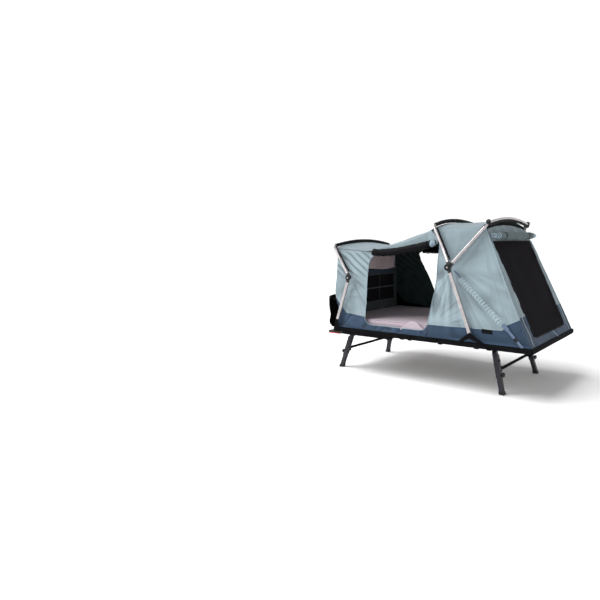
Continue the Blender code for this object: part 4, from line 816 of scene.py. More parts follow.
end_folds = creases(np.stack((y, station * 0, z), axis=1), (0.25, 0, 1), 0.10, 0.9, 8) * 0.009
depth = -folds * on_side - end_folds * (1 - on_side)
depth += 0.0075 * ripple(points, 0.17, 3) * rise(z, 0.70, 0.80) - 0.004
fold_in(tow_wall, np.where(on_side > 0.5, depth, np.maximum(depth, -0.009)), TOW_ACROSS)
sew(tow_wall, CLOTH, "tow_section", [canopy_cloth, canopy_inside_shade_cloth], SEAM,
    ["tow_canopy"])

# %% [markdown]
# ## The dark skirt
# Below the sewing line the tent is heavier, darker cloth, because it meets the wet and the dirt. It
# goes round the tow end too, and under each door it is the low sill that one climbs over. It is
# made in parts that meet over the first hinge, so that each can follow its own part of the
# platform.

# %% The skirt and the door sills
SKIRT_PITCH = 3.5 / 420


def skirt_piece(name, path, count, body, hides):
    """A strip of skirt whose station and side are given by path(u)."""
    def shape(u, v):
        station, side = path(u)
        z = HEM_FOOT + (reading(SILL, station, 0.006) - 0.0006 - HEM_FOOT) * v
        half = wall_half(station, z) - 0.004
        door = np.where(side < 0, NEAR_DOOR, FAR_DOOR)
        share = np.clip((station - TOW_END) / (door - TOW_END), 0, 1)
        return columns(station - leaning_out(z) * (1 - share), side * half, z)

    skirt = cloth_grid(name, count, 22, (SKIRT_PITCH * count, 0.15), shape, (0.1, 0, 0.6))
    points = points_of(skirt)
    station, y, z = stations_of(points)
    depth = -0.010 * fan(station, z, (0.03, 0.60), 14, 0.04, 0.45, 1) * rise(np.abs(y), 0.70, 0.74)
    leaning = np.stack((station, y, z * 0.4), axis=1)
    depth -= 0.009 * creases(leaning, (1, 0, 0.5), 0.05, 0.4, 2)
    depth += 0.0045 * ripple(points, 0.07, 5) - 0.002
    by_hinge = rise(np.abs(station - FOLD_LINES[0]), 0.16, 0.09)
    depth = np.maximum(depth, -0.020 + 0.019 * by_hinge)
    fold_in(skirt, depth * rise(z, HEM + 0.004, HEM + 0.03), count)
    return sew(skirt, CLOTH, body, [skirt_cloth, black_cloth], HEM, hides)


tow_skirt = skirt_piece("tow_skirt", lambda u: round_the_end(u, FOLD_LINES[0], 0.006), 460,
                        "tow_section", ["door_lower_wall"])
sill_run = DOOR_END - FOLD_LINES[0]
sills = {name: skirt_piece("spine_sill_" + name,
                           lambda u: (FOLD_LINES[0] + sill_run * u, side * np.ones_like(u)), 34,
                           "spine_section", []) for side, name in SIDES}

# %% [markdown]
# ## The roof between the bows
# From the front bow to the middle bow the roof is one strip of cloth. It rises to the high middle
# bow and sags between, since nothing holds it there but its own tension. It too is made as two
# parts that meet over the first hinge.

# %% The front roof
DOOR_ROLL = ((0.492, 1.462), (0.62, 1.458), (0.77, 1.470), (0.92, 1.490), (1.068, 1.517),
             (1.18, 1.543), (1.285, 1.570))
ROOF_END, ROOF_WIDTH, ROOF_LAP = 1.220, 1.29, 0.12


def front_roof_part(name, low_station, high_station, body, count, hides):
    def shape(u, v):
        whole = (2 * v - 1) * (1 + ROOF_LAP)
        side = np.clip(whole, -1, 1) * 0.997
        over = np.clip((np.abs(whole) - 1) / ROOF_LAP, 0, 1)
        station = low_station + (high_station - low_station) * u
        eave, ridge = reading(EAVE_HEIGHTS, station), reading(RIDGE_HEIGHTS, station)
        z = ridge + (eave - ridge) * side * side - 0.0012
        half = wall_half(station, np.minimum(z, eave)) - 0.0005
        drop = (eave - np.interp(station, *zip(*DOOR_ROLL))) * rise(station, 0.46, 0.53)
        if high_station == ROOF_END:
            station = station + 0.085 * u ** 2 * np.minimum(over * 2, 1)
        return columns(station, side * half + np.sign(side) * 0.004 * over, z - drop * over)

    size = (high_station - low_station, ROOF_WIDTH)
    roof = cloth_grid(name, count, 130, size, shape, (-0.3, 0, 0.5))
    points = points_of(roof)
    station, y, z = stations_of(points)
    depth = -0.012 * fan_pair((station, y), (station, -y), (1.22, -0.60), 14, 0.06, 0.8, (3, 9))
    depth -= 0.010 * fan_pair((-station, y), (-station, -y), (0.045, -0.62), 12, 0.05, 0.5, (5, 7))
    depth += 0.0035 * ripple(points, 0.19, 11) - 0.004
    fold_in(roof, depth * rise(station, ROOF_START, 0.0) * rise(station, ROOF_END, 1.17), count)
    return sew(roof, CLOTH, body, [canopy_cloth, canopy_inside_shade_cloth], SEAM, hides)


front_roof_part("tow_roof", ROOF_START, FOLD_LINES[0], "tow_section", 210, ["front_roof"])
front_roof_part("spine_roof", FOLD_LINES[0], ROOF_END, "spine_section", 32, [])

# %% [markdown]
# ## The outer canopy
# Behind the doors one wide cut of cloth goes up the near wall, over the roof and down the far wall.
# The outer hub is where two bows and a pole meet, so it pulls hard: ribs fan out below it. A band
# of gathered cloth runs from the hub down to the outer corner. The foot of the wall is the same
# dark cloth as the skirt, and a level sewing line parts the two.

# %% The outer canopy
SKIRT_LINE = ((1.20, 0.683), (1.733, 0.686), (2.06, 0.695), (2.085, 0.745), (2.254, 0.834),
              (2.35, 0.86))
WALL_TOP, REAR_INSET = 1.700, 0.0049
GATHERS, GATHERS_WAY, GATHERS_HALF_WIDTH = (1.510, 1.268), (0.725, 0.689), 0.029
OUTER_ACROSS = 176


def over_the_tent(v, turn=0.009):
    """The share of the wall's height and the side, going up the near wall, over and down."""
    marks = (0, 0.33, 0.67, 1)
    height = eased(v, marks, (0, 1, 1, 0), turn)
    lowest = eased(0.0, marks, (0, 1, 1, 0), turn)
    return (height - lowest) / (1 - lowest), eased(v, marks, (-1, -1, 1, 1), turn)


def outer_shape(u, v):
    share, side = over_the_tent(v)
    station = 1.25 + 0.85 * u
    # The edges' stations depend on the height, and it on them: four rounds settle both.
    for _ in range(4):
        eave = reading(EAVE_HEIGHTS, station)
        z = HEM_FOOT + (eave - HEM_FOOT) * share
        left = reading(DOOR_RIGHT, z, 0.02)
        left = left + (MID_LAP - DOOR_RIGHT[-1][1]) * np.clip((z - 1.600) / 0.115, 0, 1)
        right = rear_station(np.minimum(z, WALL_TOP + 0.02)) - REAR_INSET
        station = left + (right - left) * u
    eave, ridge = reading(EAVE_HEIGHTS, station), reading(RIDGE_HEIGHTS, station)
    z = z + (ridge - eave) * (1 - side * side) * share
    half = wall_half(station, np.minimum(z, eave)) - WALL_INSET
    return columns(station, side * half, z - 0.003 * share)


outer_wall = cloth_grid("outer_wall", OUTER_ACROSS, 430, (0.92, 3.56), outer_shape, (0.8, 0, 0.9))
points = points_of(outer_wall)
station, y, z = stations_of(points)
on_wall = rise(np.abs(y), 0.55, 0.60) * rise(z, 1.74, 1.68)
hub_folds = fan(station, z, OUTER_HUB, 13, 0.08, 0.95, 12, 1.1) * rise(z, 1.31, 1.22) * 0.030
hub_folds += fan(station, z, OUTER_HUB, 38, 0.09, 1.0, 19, 1.3) * rise(z, 1.30, 1.20) * 0.016
leaning = np.stack((station + 0.10 * z, z * 0.16, y * 0), axis=1)
broad_folds = (0.5 + 0.5 * ripple(leaning, 0.050, 3)) * rise(station, 1.60, 1.44) * 0.030
broad_folds += (0.5 + 0.5 * ripple(leaning, 0.022, 5)) * rise(station, 1.55, 1.42) * 0.008
broad_folds *= rise(z, 0.56, 0.8) * rise(z, 1.42, 1.24)
above_hub = (OUTER_HUB[0] + 0.04, -OUTER_HUB[1])
high_folds = fan(station, -z, above_hub, 9, 0.08, 0.5, 14) * rise(z, 1.34, 1.46) * 0.008
off_x, off_z = station - GATHERS[0], z - GATHERS[1]
across = off_x * GATHERS_WAY[1] + off_z * GATHERS_WAY[0]
along = off_x * GATHERS_WAY[0] - off_z * GATHERS_WAY[1]
band = np.exp(-((across / GATHERS_HALF_WIDTH) ** 4)) * rise(along, 0.07, 0.14)
band *= rise(along, 0.78, 0.72)
waves = np.sin(along * 180 - np.abs(across) * 60 + 1.6 * ripple(points, 0.05, 4))
gathers = band * (0.0060 + (0.0052 + 0.0022 * ripple(points, 0.09, 8)) * waves)
corner_folds = fan(station, z, (1.24, 0.62), 30, 0.06, 0.60, 16) * rise(station, 1.27, 1.32) * 0.018
corner_folds += fan(station, z, (2.20, 0.62), 12, 0.05, 0.40, 18) * 0.010
hub_folds *= 1 - 0.62 * rise(across, 0.02, 0.10)
wall_folds = (hub_folds + broad_folds + high_folds + corner_folds) * (1 - 0.8 * band)
roof_folds = fan_pair((station, y), (station, -y), (1.27, -0.60), 11, 0.05, 0.6, (21, 23))
roof_folds += fan_pair((-station, y), (-station, -y), (-1.83, -0.58), 11, 0.05, 0.6, (25, 27))
depth = on_wall * (gathers - wall_folds) - (1 - on_wall) * roof_folds * 0.010
depth += 0.0070 * ripple(points, 0.16, 13) - 0.005
near_leaf = rise(np.abs(station - FOLD_LINES[1]), 0.24, 0.08) * rise(z, 0.92, 0.71)
depth = np.maximum(depth * (1 - 0.85 * near_leaf), -0.045 + 0.039 * near_leaf)
depth = np.maximum(depth, -0.012 - 0.03 * rise(z, 0.66, 0.76))
held = rise(z, HEM, HEM + 0.03) * rise(rear_station(z) - station, 0.004, 0.03)
fold_in(outer_wall, depth * held, OUTER_ACROSS)
store(outer_wall, "sewing_line", z - reading(SKIRT_LINE, station, 0.01))
sew(outer_wall, CLOTH, "outer_section", [end_wall_cloth, canopy_inside_shade_cloth], HEM,
    ["outer_canopy"])

# %% [markdown]
# ## The sloping wall with the window
# The outer end is one sloping panel with a large net window. The panel is a frame of cloth round
# the net, so its grid runs round it like the rings of a tree: the inmost ring is the window's edge,
# the outmost ring is the wall's own outline. This keeps both edges clean.

# %% The outer end wall
SLOPE_OUT = np.array((1, 0, REAR_LEAN)) / math.hypot(1, REAR_LEAN)
WINDOW_LOW, WINDOW_HIGH = 0.625, 1.570
LOW_HALF, HIGH_HALF, LOW_ROUND, HIGH_ROUND = 0.545, 0.575, 0.060, 0.012
END_SEWING_LINE, RING = 0.834, 420


def on_slope(y, z, out=0.0):
    """Points on the sloping wall, given by side and height, and how far they stand out of it."""
    y, z = np.asarray(y, float), np.asarray(z, float)
    base = np.stack((rear_station(z) - MIDDLE, y, z), axis=-1)
    return base + SLOPE_OUT * np.asarray(out, float)[..., None]


def evenly(points, count):
    """count points spread evenly along a closed outline, and the first again."""
    points = np.vstack((points, points[:1]))
    lengths = lengths_along(points)
    where = np.linspace(0, lengths[-1], count + 1)
    return np.stack([np.interp(where, lengths, points[:, k]) for k in (0, 1)], axis=1)


def quarter(centre, radius, start, count):
    """Points along a quarter of a circle, from start degrees on."""
    angles = np.radians(np.linspace(start, start + 90, count))
    return np.array(centre) + radius * np.stack((np.cos(angles), np.sin(angles)), axis=1)


def window_edge(margin=0.0):
    """The window's outline as (side, height), from the middle of its foot round to there again."""
    low, high = WINDOW_LOW - margin, WINDOW_HIGH + margin
    across, up = HIGH_HALF + margin - HIGH_ROUND, high - HIGH_ROUND
    low_across, down = LOW_HALF + margin - LOW_ROUND, low + LOW_ROUND
    return np.vstack(([(0, low)], quarter((low_across, down), LOW_ROUND, -90, 9),
                      quarter((across, up), HIGH_ROUND, 0, 9),
                      quarter((-across, up), HIGH_ROUND, 90, 9),
                      quarter((-low_across, down), LOW_ROUND, 180, 9)))


def wall_edge():
    """The end wall's own outline, from the middle of its foot round to there again."""
    heights = np.linspace(HEM + 0.0006, WALL_TOP, 60)
    halves = wall_half(rear_station(heights), heights) - WALL_INSET
    top = np.linspace(1, -1, 60)[1:-1]
    crown = np.stack((top * halves[-1], WALL_TOP + 0.050 * (1 - top ** 2)), axis=1)
    right = np.stack((halves, heights), axis=1)
    return np.vstack(([(0, heights[0])], right, crown, right[::-1] * (-1, 1)))


inner_ring, outer_ring = evenly(window_edge(), RING), evenly(wall_edge(), RING)


def end_wall_shape(u, v):
    i = np.rint(u * RING).astype(int)
    flat = inner_ring[i] + (outer_ring[i] - inner_ring[i]) * v[:, None]
    return on_slope(flat[:, 0], flat[:, 1], np.zeros(len(u)))


end_wall = cloth_grid("outer_end_wall", RING, 40, (5.2, 0.12), end_wall_shape, (0.4, 0, 0.6))
edit(end_wall, bpy.ops.mesh.remove_doubles, threshold=MERGE)
edit(end_wall, bpy.ops.mesh.normals_make_consistent, inside=False)
if float(np.mean(vectors_of(end_wall, "normal") @ SLOPE_OUT)) < 0:
    edit(end_wall, bpy.ops.mesh.flip_normals)
points = points_of(end_wall)
station, y, z = stations_of(points)
off_edge = wall_half(station, z) - np.abs(y)
slack = rise(off_edge, 0.005, 0.03) * rise(z, HEM, HEM + 0.02)
slack *= rise(np.abs(y) - LOW_HALF, 0.0, 0.03)
folds = fan_pair((y, -z), (-y, -z), (-0.62, -1.72), 12, 0.05, 0.5, (31, 33))
folds += fan_pair((y, -z), (-y, -z), (-0.72, -0.56), 14, 0.05, 0.5, (35, 37))
depth = -0.012 * folds * slack
depth += (0.0050 * ripple(points, 0.11, 6) - 0.003) * rise(off_edge, 0.005, 0.03)
# The groove field is the mask for the painted shade in the folds and the painted highlight on their
# ridges.
store(end_wall, "groove", np.clip(-depth / 0.008 - 0.35, -1, 1))
press(end_wall, depth)
store(end_wall, "sewing_line", z - END_SEWING_LINE)
sew(end_wall, CLOTH, "outer_section", [end_wall_cloth, canopy_inside_shade_cloth], HEM,
    ["rear_wall"])

# %% [markdown]
# ## The window's net
# The net is nearly black, so the white studio behind hardly shows through. It hangs a little loose,
# with shallow waves, inside a bound edge.

# %% The net and its binding
NET_LAP = 0.012


def net_shape(u, v):
    z = WINDOW_LOW - NET_LAP + (WINDOW_HIGH - WINDOW_LOW + 2 * NET_LAP) * v
    half = LOW_HALF + NET_LAP + (HIGH_HALF - LOW_HALF) * v
    return on_slope((2 * u - 1) * half, z, np.full(len(u), -0.003))


net = cloth_grid("window_net_panel", 100, 90, (1.14, 1.05), net_shape, (0.4, 0, 0.6))
points = points_of(net)
_, y, z = stations_of(points)
slack = rise(LOW_HALF - np.abs(y), 0, 0.12) * rise(z, 0.63, 0.75) * rise(z, 1.56, 1.46)
press(net, (0.006 * ripple(points, 0.30, 4) - 0.004) * slack)
sew(net, 0.0012, "outer_section", [window_net], HEM, ["window_mesh"])
rim = evenly(window_edge(0.004), 240)
trim("window_binding", on_slope(*rim.T, np.full(len(rim), 0.0002)), flat_band(0.012, 0.0022),
     SLOPE_OUT, "outer_section", black_webbing, HEM)
print("edge of the net:", round(float(lengths_along(rim)[-1]), 2))

# %% [markdown]
# ## Rolled covers
# The cloth covers of the window and the doors are rolled up and tied. A roll is a long sheet wound
# into a spiral, and its end shows the turns. Its outline is therefore drawn as a spiral band,
# carried along the roll, and pressed in here and there where the cloth was rolled unevenly or tied.

# %% Helpers for rolls and ties
def spiral(radius, core, turns, thickness, per_turn=16):
    """A closed outline of a band that winds inwards."""
    angles = np.linspace(0, 2 * math.pi * turns, int(per_turn * turns) + 1)
    way = np.stack((np.cos(angles), np.sin(angles)), axis=1)
    reach = (radius + (core - radius) * angles / angles[-1])[:, None]
    return np.vstack((reach * way, ((reach - thickness) * way)[::-1]))


def rolled_cover(name, path, radius, ties, wrinkle, squeeze, seed, steps):
    """A cover rolled up along a path, drawn in at its ties, which are given as shares of it."""
    path = smooth_line(path, steps)
    roll = sweep(name, path, spiral(radius, radius * 0.24, 5, 0.0030), UP)
    points = points_of(roll)
    gaps = np.linalg.norm(points[:, None, :] - path[None, ::4, :], axis=2)
    near = path[::4][np.argmin(gaps, axis=1)]
    distance = np.linalg.norm(points - near, axis=1)
    total = np.linalg.norm(path[-1] - path[0])
    run = (points - path[0]) @ ((path[-1] - path[0]) / total)
    tight = np.max([np.exp(-(((run - tie * total) / 0.035) ** 2)) for tie in ties], axis=0)
    on_outside = rise(distance, radius * 0.55, radius * 0.85)
    crumple = creases(points, path[-1] - path[0], 0.030, 0.45, seed)
    crumple += 0.6 * creases(points, (0.5, 0.6, 0.9), 0.045, 0.3, seed + 1)
    unevenly = 0.0018 * ripple(points, 0.05, seed) - wrinkle * crumple
    step = unevenly * on_outside - squeeze * tight * distance
    away = (points - near) / np.maximum(distance, 1e-6)[:, None]
    move_points(roll, points + away * step[:, None])
    return roll, path


def tie_round(name, path, share, radius, body, rest, width=0.016):
    """A short band of webbing round a roll."""
    i = int(round(share * (len(path) - 1)))
    tangent = path[i + 1] - path[i - 1]
    tangent /= np.linalg.norm(tangent)
    side = np.cross(tangent, UP)
    side /= np.linalg.norm(side)
    up = np.cross(side, tangent)
    outs = [side * math.cos(a) + up * math.sin(a) for a in np.linspace(0, 2 * math.pi, 41)]
    trim(name, [path[i] + out * radius for out in outs], flat_band(width, 0.0022), outs, body,
         black_webbing, rest)


# %% The window's rolled cover
ROLL_HEIGHT, ROLL_OUT, ROLL_HALF = 1.612, 0.0463, 0.655
END_STEPS = ((0.515, 0.10), (0.560, 0.14), (0.605, 0.16))
STEP_RUN = 0.007
centre = on_slope([0.0], [ROLL_HEIGHT], [ROLL_OUT])[0]
roll_path = [centre + np.array((0.0, y, -0.004 * math.cos(y * 4)))
             for y in np.linspace(-ROLL_HALF, ROLL_HALF, 9)]
window_cover, line = rolled_cover("window_cover_roll", roll_path, 0.0455, (0.215, 0.785), 0.005,
                                  0.22, 3, 150)
points = points_of(window_cover)
reach = np.abs(points[:, 1])
step = sum(share * rise(reach, start, start + STEP_RUN) for start, share in END_STEPS)
for axis in (0, 2):
    points[:, axis] += (centre[axis] - points[:, axis]) * step
move_points(window_cover, points)
for face in window_cover.data.polygons:
    reach = abs(face.center.y)
    dark_ring = 0.556 < reach < 0.566 or 0.601 < reach < 0.611
    face.material_index = int(reach > 0.519 and not dark_ring)
dress(window_cover, "outer_section", [roll_cloth, piping_cloth], HEM, ["window_roll"])
for name, share in (("near", 0.215), ("far", 0.785)):
    tie_round("window_cover_tie_" + name, line, share, 0.0400, "outer_section", HEM, 0.013)

# %% The doors' rolled covers
for side, name in SIDES:
    whole = smooth_line([at(s, side * 0.634, h) for s, h in DOOR_ROLL], 160)
    hinge = int(np.argmin(np.abs(whole[:, 0] - (FOLD_LINES[0] - MIDDLE))))
    for part, path, tie, steps, hides in (
            ("tow", whole[: hinge + 1], 0.12, 110, ["door_roll_" + name]),
            ("spine", whole[hinge:], 0.55, 50, [])):
        body = part + "_section"
        cover, line = rolled_cover("door_cover_%s_%s" % (name, part), path, 0.048, (tie,), 0.006,
                                   0.18, 5, steps)
        if part == "spine":
            points = points_of(cover)
            station = points[:, 0] + MIDDLE
            step = 0.16 * rise(station, 1.222, 1.228) + 0.2 * rise(station, 1.255, 1.261)
            core = np.stack([np.interp(points[:, 0], line[:, 0], line[:, k])
                             for k in range(3)], axis=1)
            move_points(cover, points + (core - points) * step[:, None])
            for face in cover.data.polygons:
                on_end = abs(face.normal.x) > 0.8
                face.material_index = int(face.center.x + MIDDLE > 1.226 and not on_end)
        dress(cover, body, [black_cloth, piping_cloth], SEAM, hides)
        tie_round("door_cover_tie_%s_%s" % (name, part), line, tie, 0.0425, body, SEAM)

# %% [markdown]
# ## The mattress in three pads
# The mattress is cut across where the platform folds. Each pad is foam in a sewn cover: flat below,
# slightly crowned above, round at its edges, with a cord sewn round the top edge. A cube is divided
# finely, its points are drawn towards the edges and then pulled into a box with round edges.

# %% The pads
PAD_HALF_WIDTH, PAD_HALF_HEIGHT, PAD_MIDDLE = 0.699, 0.0535, 0.6175
PAD_ROUND, PAD_SPARE = 0.030, 0.024
CORD_INSET, CORD_HEIGHT = 0.006, 0.6675


def round_box(name, cuts, half, radius):
    """A box with round edges, with its points' places on the cube and on the box."""
    nothing_selected()
    bpy.ops.mesh.primitive_cube_add(size=2)
    box = bpy.context.active_object
    box.name = name
    edit(box, bpy.ops.mesh.subdivide, number_cuts=cuts)
    cube = np.sin(points_of(box) * math.pi / 2)
    inner = np.clip(cube * half, -(half - radius), half - radius)
    away = cube * half - inner
    size = np.linalg.norm(away, axis=1)[:, None]
    points = np.where(size > 1e-9, inner + away / np.maximum(size, 1e-9) * radius, cube * half)
    return box, cube, points


def make_pad(name, start, end):
    """A pad from one station to another. Its ends at the fold lines are cut off flat."""
    body = name.replace("pad", "section")
    first = start - (PAD_SPARE if start > 1 else 0.0)
    last = end + (PAD_SPARE if end < 2 else 0.0)
    half = np.array(((last - first) / 2 - 0.001, PAD_HALF_WIDTH, PAD_HALF_HEIGHT))
    pad, cube, points = round_box(name, 63, half, PAD_ROUND)
    u, v = cube[:, 0], cube[:, 1]
    place = points + np.array(((first + last) / 2 - MIDDLE, 0, PAD_MIDDLE))
    crown = 0.004 * (1 - u ** 4) * (1 - v ** 4)
    hollows = 0.0026 * ripple(place, 0.24, 2) - 0.003 * creases(place, (0.9, 0.35, 0), 0.10, 0.7, 4)
    hollows *= rise(1 - np.abs(v), 0.0, 0.06) * rise(1 - np.abs(u), 0.0, 0.08)
    place[:, 2] += rise(points[:, 2], 0.0, 0.04) * (crown + hollows)
    waist = 0.0025 * np.sin(place[:, 0] * 38 + place[:, 1] * 31)
    waist *= 1 - np.abs(points[:, 2]) / PAD_HALF_HEIGHT
    place[:, 0] -= np.sign(points[:, 0]) * waist ** 2 * 40 * (np.abs(u) > 0.999)
    place[:, 0] = np.clip(place[:, 0], start - MIDDLE, end - MIDDLE)
    move_points(pad, place)
    bpy.ops.object.shade_smooth()
    dress(pad, body, mattress_cloth, None, [name.replace("pad", "mattress")])

    x, y, radius = half[0] - PAD_ROUND, half[1] - PAD_ROUND, PAD_ROUND - CORD_INSET
    corners = [quarter(centre, radius, turn, 7)
               for centre, turn in (((x, y), 0), ((-x, y), 90), ((-x, -y), 180), ((x, -y), 270))]
    loop = evenly(np.vstack(corners), 200) + ((first + last) / 2 - MIDDLE, 0)
    loop = np.column_stack((loop, np.full(len(loop), CORD_HEIGHT)))
    inside = (loop[:, 0] > start - MIDDLE) & (loop[:, 0] < end - MIDDLE)
    for side, word in SIDES:
        line = loop[(loop[:, 1] * side > 0) & inside]
        turn = int(np.argmax(np.linalg.norm(np.diff(line, axis=0), axis=1))) + 1
        if np.linalg.norm(line[turn] - line[turn - 1]) > 0.05:
            line = np.roll(line, -turn, axis=0)
        trim("%s_piping_%s" % (name, word), line, ring(0.0030), UP, body, mattress_cloth)


for name, start, end in (("tow_pad", 0.055, 1.066), ("spine_pad", 1.070, 1.377),
                         ("outer_pad", 1.381, 2.270)):
    make_pad(name, start, end)

# %% [markdown]
# ## The cover at the tow end
# A stiff black cover rises from the tow end of the platform, bulges outwards and folds over at the
# top. Behind it lies the rest of the travel cover, folded in layers. The cover is a sheet that
# takes its profile from the frame. The layers behind it are one soft stack with deep grooves
# between them.

# %% The curved cover and the folded layers
COVER_FOOT, COVER_RISE, COVER_BULGE, COVER_HALF = 0.565, 0.360, 0.118, 0.7695
COVER_HEM, COVER_START, LIP = 0.5458, 0.036, 0.14
LAYERS_HALF, LAYERS_DEPTH, LAYER_PITCH = 0.688, 0.056, 0.032
COVER_WAY = (-1, 0, 0.2)


def cover_profile(t, offset=0.0):
    """The cover's side profile: station and height at a share t of its height."""
    reach = np.sin(np.minimum(1.0, 0.28 + t * 0.95) * math.pi / 2)
    return offset - COVER_BULGE * reach ** 1.2, COVER_FOOT + COVER_RISE * t


def tow_cover_shape(u, v):
    side = 2 * u - 1
    station, z = cover_profile(np.clip((v - LIP) / (1 - LIP), 0, 1), 0.001)
    flat = np.clip(v / LIP, 0, 1)
    z = np.where(v < LIP, COVER_HEM + 0.0192 * rise(flat, 0.72, 1.0), z)
    station = np.where(v < LIP, COVER_START + (station - COVER_START) * flat, station)
    station = station + 0.055 * np.abs(side) ** 10 * rise(v, 0.2, 0.5)
    return columns(station, side * COVER_HALF, z - 0.012 * np.abs(side) ** 12 * rise(v, 0.7, 1.0))


tow_cover = cloth_grid("tow_cover_black", 240, 74, (1.54, 0.50), tow_cover_shape, (0.3, 0, 0.7))
points = points_of(tow_cover)
crumple = creases(points, (0.1, 1, 0.25), 0.06, 0.8, 6)
depth = 0.0035 * ripple(points, 0.13, 2) - 0.005 * crumple - 0.002
press(tow_cover, depth * rise(points[:, 2], 0.56, 0.62))
sew(tow_cover, 0.0045, "tow_section", [black_cloth], None, ["tow_cover_sheet"])

ALONG_COVER = np.linspace(0.16, 1.0, 60)
for (_, name), edge_u in zip(SIDES, (0.0, 1.0)):
    trim("tow_cover_edge_" + name, tow_cover_shape(np.full(60, edge_u), ALONG_COVER),
         ring(0.0042, count=10), COVER_WAY, "tow_section", black_webbing)
for (_, name), strap_u in zip(SIDES, (0.24, 0.76)):
    smooth = tow_cover_shape(np.full(60, strap_u), ALONG_COVER)
    line = np.array([tuple(tow_cover.closest_point_on_mesh(Vector(place), distance=0.08)[1])
                     for place in smooth])
    line[:, 0] = np.minimum(line[:, 0] - 0.0012, smooth[:, 0] - 0.001)
    trim("tow_cover_strap_" + name, line, flat_band(0.025, 0.0024), (-1, 0, 0.1), "tow_section",
         black_webbing)
trim("tow_cover_brim", tow_cover_shape(np.linspace(0, 1, 160), np.ones(160)),
     ring(0.0045, count=10), COVER_WAY, "tow_section", black_webbing)


def layers_shape(u, v):
    around = v * 2 * math.pi
    t = 0.5 + 0.5 * np.cos(around)
    front, z = cover_profile(0.10 + 0.82 * t, 0.010)
    back = front + LAYERS_DEPTH * rise(np.sin(around), 0.0, 0.35) + 0.002
    return columns(back, (2 * u - 1) * LAYERS_HALF, z - 0.010 * t)


layers = cloth_grid("tow_cover_layers", 150, 120, (1.38, 0.8), layers_shape, (-0.98, 0, 0.75))
close_up(layers)
points = points_of(layers)
wavy = points[:, 2] + 0.012 * ripple(points, 0.16, 3)
groove = np.abs(np.sin(wavy * math.pi / LAYER_PITCH)) ** 0.6
press(layers, (groove - 1) * 0.008 + 0.002 * ripple(points, 0.06, 7))
dress(layers, "tow_section", black_cloth, None, ["tow_cover_folds"])
print("cover profile:", [np.round(cover_profile(t), 3).tolist() for t in (0.0, 1.0)])

# %% [markdown]
# ## Sleeves over the bows
# At the crown each bow runs through a sleeve sewn to the roof. On the front and middle bows the
# sleeve is a deep black band with a light edge on top. On the rear bow it hangs under the silver
# tube. Sleeves turn with their bows.

# %% Crown sleeves
# Each bow: its corner and half width there, its crown's rise and shift along the tent, its hub, how
# far out its arm starts, and the step from the arm to its edge of cloth.
BOWS = {
    "front": (FRONT_CORNER, 0.678, 0.065, 0.0, TOW_HUB, 0.7425, -0.022),
    "mid": (MID_CORNER, 0.652, 0.070, -0.039, OUTER_HUB, 0.7145, -0.022),
    "rear": (REAR_CORNER, 0.622, 0.061, 0.0, OUTER_HUB, 0.7075, 0.020),
}


def crown_line(corner, corner_y, peak, shift, drop):
    v = np.linspace(-0.93, 0.93, 61)
    arch = 1 - v * v
    return columns(corner[0] + shift * arch, v * corner_y, corner[1] + peak * arch - drop)


def sleeve_folds(points):
    crumple = creases(points, (0.3, 0.4, 1), 0.035, 0.15, 5)
    return 0.0016 * ripple(points, 0.035, 4) - 0.0018 * crumple


for word, bow in BOWS.items():
    body = word + "_bow_body"
    outline, drop = ring(0.0165, 0.0225, 18), 0.004
    if word == "rear":
        outline, drop = ring(0.0135, 0.0175, 18), 0.023
    trim(word + "_crown_sleeve", crown_line(*bow[:4], drop), outline, UP, body, black_cloth,
         folds=sleeve_folds)
    if word != "rear":
        trim(word + "_crown_edge", crown_line(*bow[:4], -0.0150), flat_band(0.016, 0.0030), UP,
             body, piping_cloth)
print("crown sleeves:", list(BOWS))

# %% [markdown]
# Hard black elbows sit over the corners of the rear bow, and a narrow black edge of cloth runs
# along the inner side of each bow's arms, where the canopy is fastened to them. Its black is partly
# that cloth and partly painted shade for the gap between the arm and the canopy. Both turn with
# their bow.

# %% Elbows and the edges along the arms
def arm_line(corner, corner_y, hub, layer, side, inwards):
    """A line along a bow's arm, moved inwards in the plane of the arm."""
    length = math.dist(hub, corner)
    share = np.linspace(0.075, length - 0.035, 70) / length
    dx, dz = corner[0] - hub[0], corner[1] - hub[1]
    y = layer - 0.004 + (corner_y - layer) * share
    unevenly = 0.0012 * np.sin(np.arange(70) * 1.3)
    return columns(hub[0] + dx * share - dz * inwards / length, side * y,
                   hub[1] + dz * share + dx * inwards / length + unevenly)


# The arm edges are black cloth and, in part, painted shade for the gap between arm and canopy.
for word, (corner, corner_y, _, _, hub, layer, inwards) in BOWS.items():
    for side, name in SIDES:
        trim("%s_arm_edge_%s" % (word, name), arm_line(corner, corner_y, hub, layer, side, inwards),
             flat_band(0.012, 0.016), (0, -side, 0), word + "_bow_body", black_cloth,
             folds=lambda points: 0.0012 * ripple(points, 0.02, 3))


def cylinder(name, sides, radius, depth):
    nothing_selected()
    bpy.ops.mesh.primitive_cylinder_add(vertices=sides, radius=radius, depth=depth)
    piece = bpy.context.active_object
    piece.name = name
    return piece


def put_at(piece, place, degrees, axis):
    """Turn a piece about an axis and set it in its place for good."""
    piece.matrix_world = Matrix.Translation(place) @ Matrix.Rotation(math.radians(degrees), 4, axis)
    only(piece)
    bpy.ops.object.transform_apply(location=True, rotation=True, scale=True)


for side, name in SIDES:
    elbow = cylinder("rear_elbow_" + name, 28, 0.0235, 0.062)
    edit(elbow, bpy.ops.transform.resize, value=(0.95, 1.0, 1.0))
    edit(elbow, bpy.ops.mesh.bevel, offset=0.006, segments=3, affect="EDGES")
    place = at(REAR_CORNER[0] - 0.004, side * 0.612, REAR_CORNER[1] + 0.001)
    put_at(elbow, place, -38 * side, "X")
    bpy.ops.object.shade_smooth_by_angle(angle=math.radians(35))
    dress(elbow, "rear_bow_body", black_plastic)

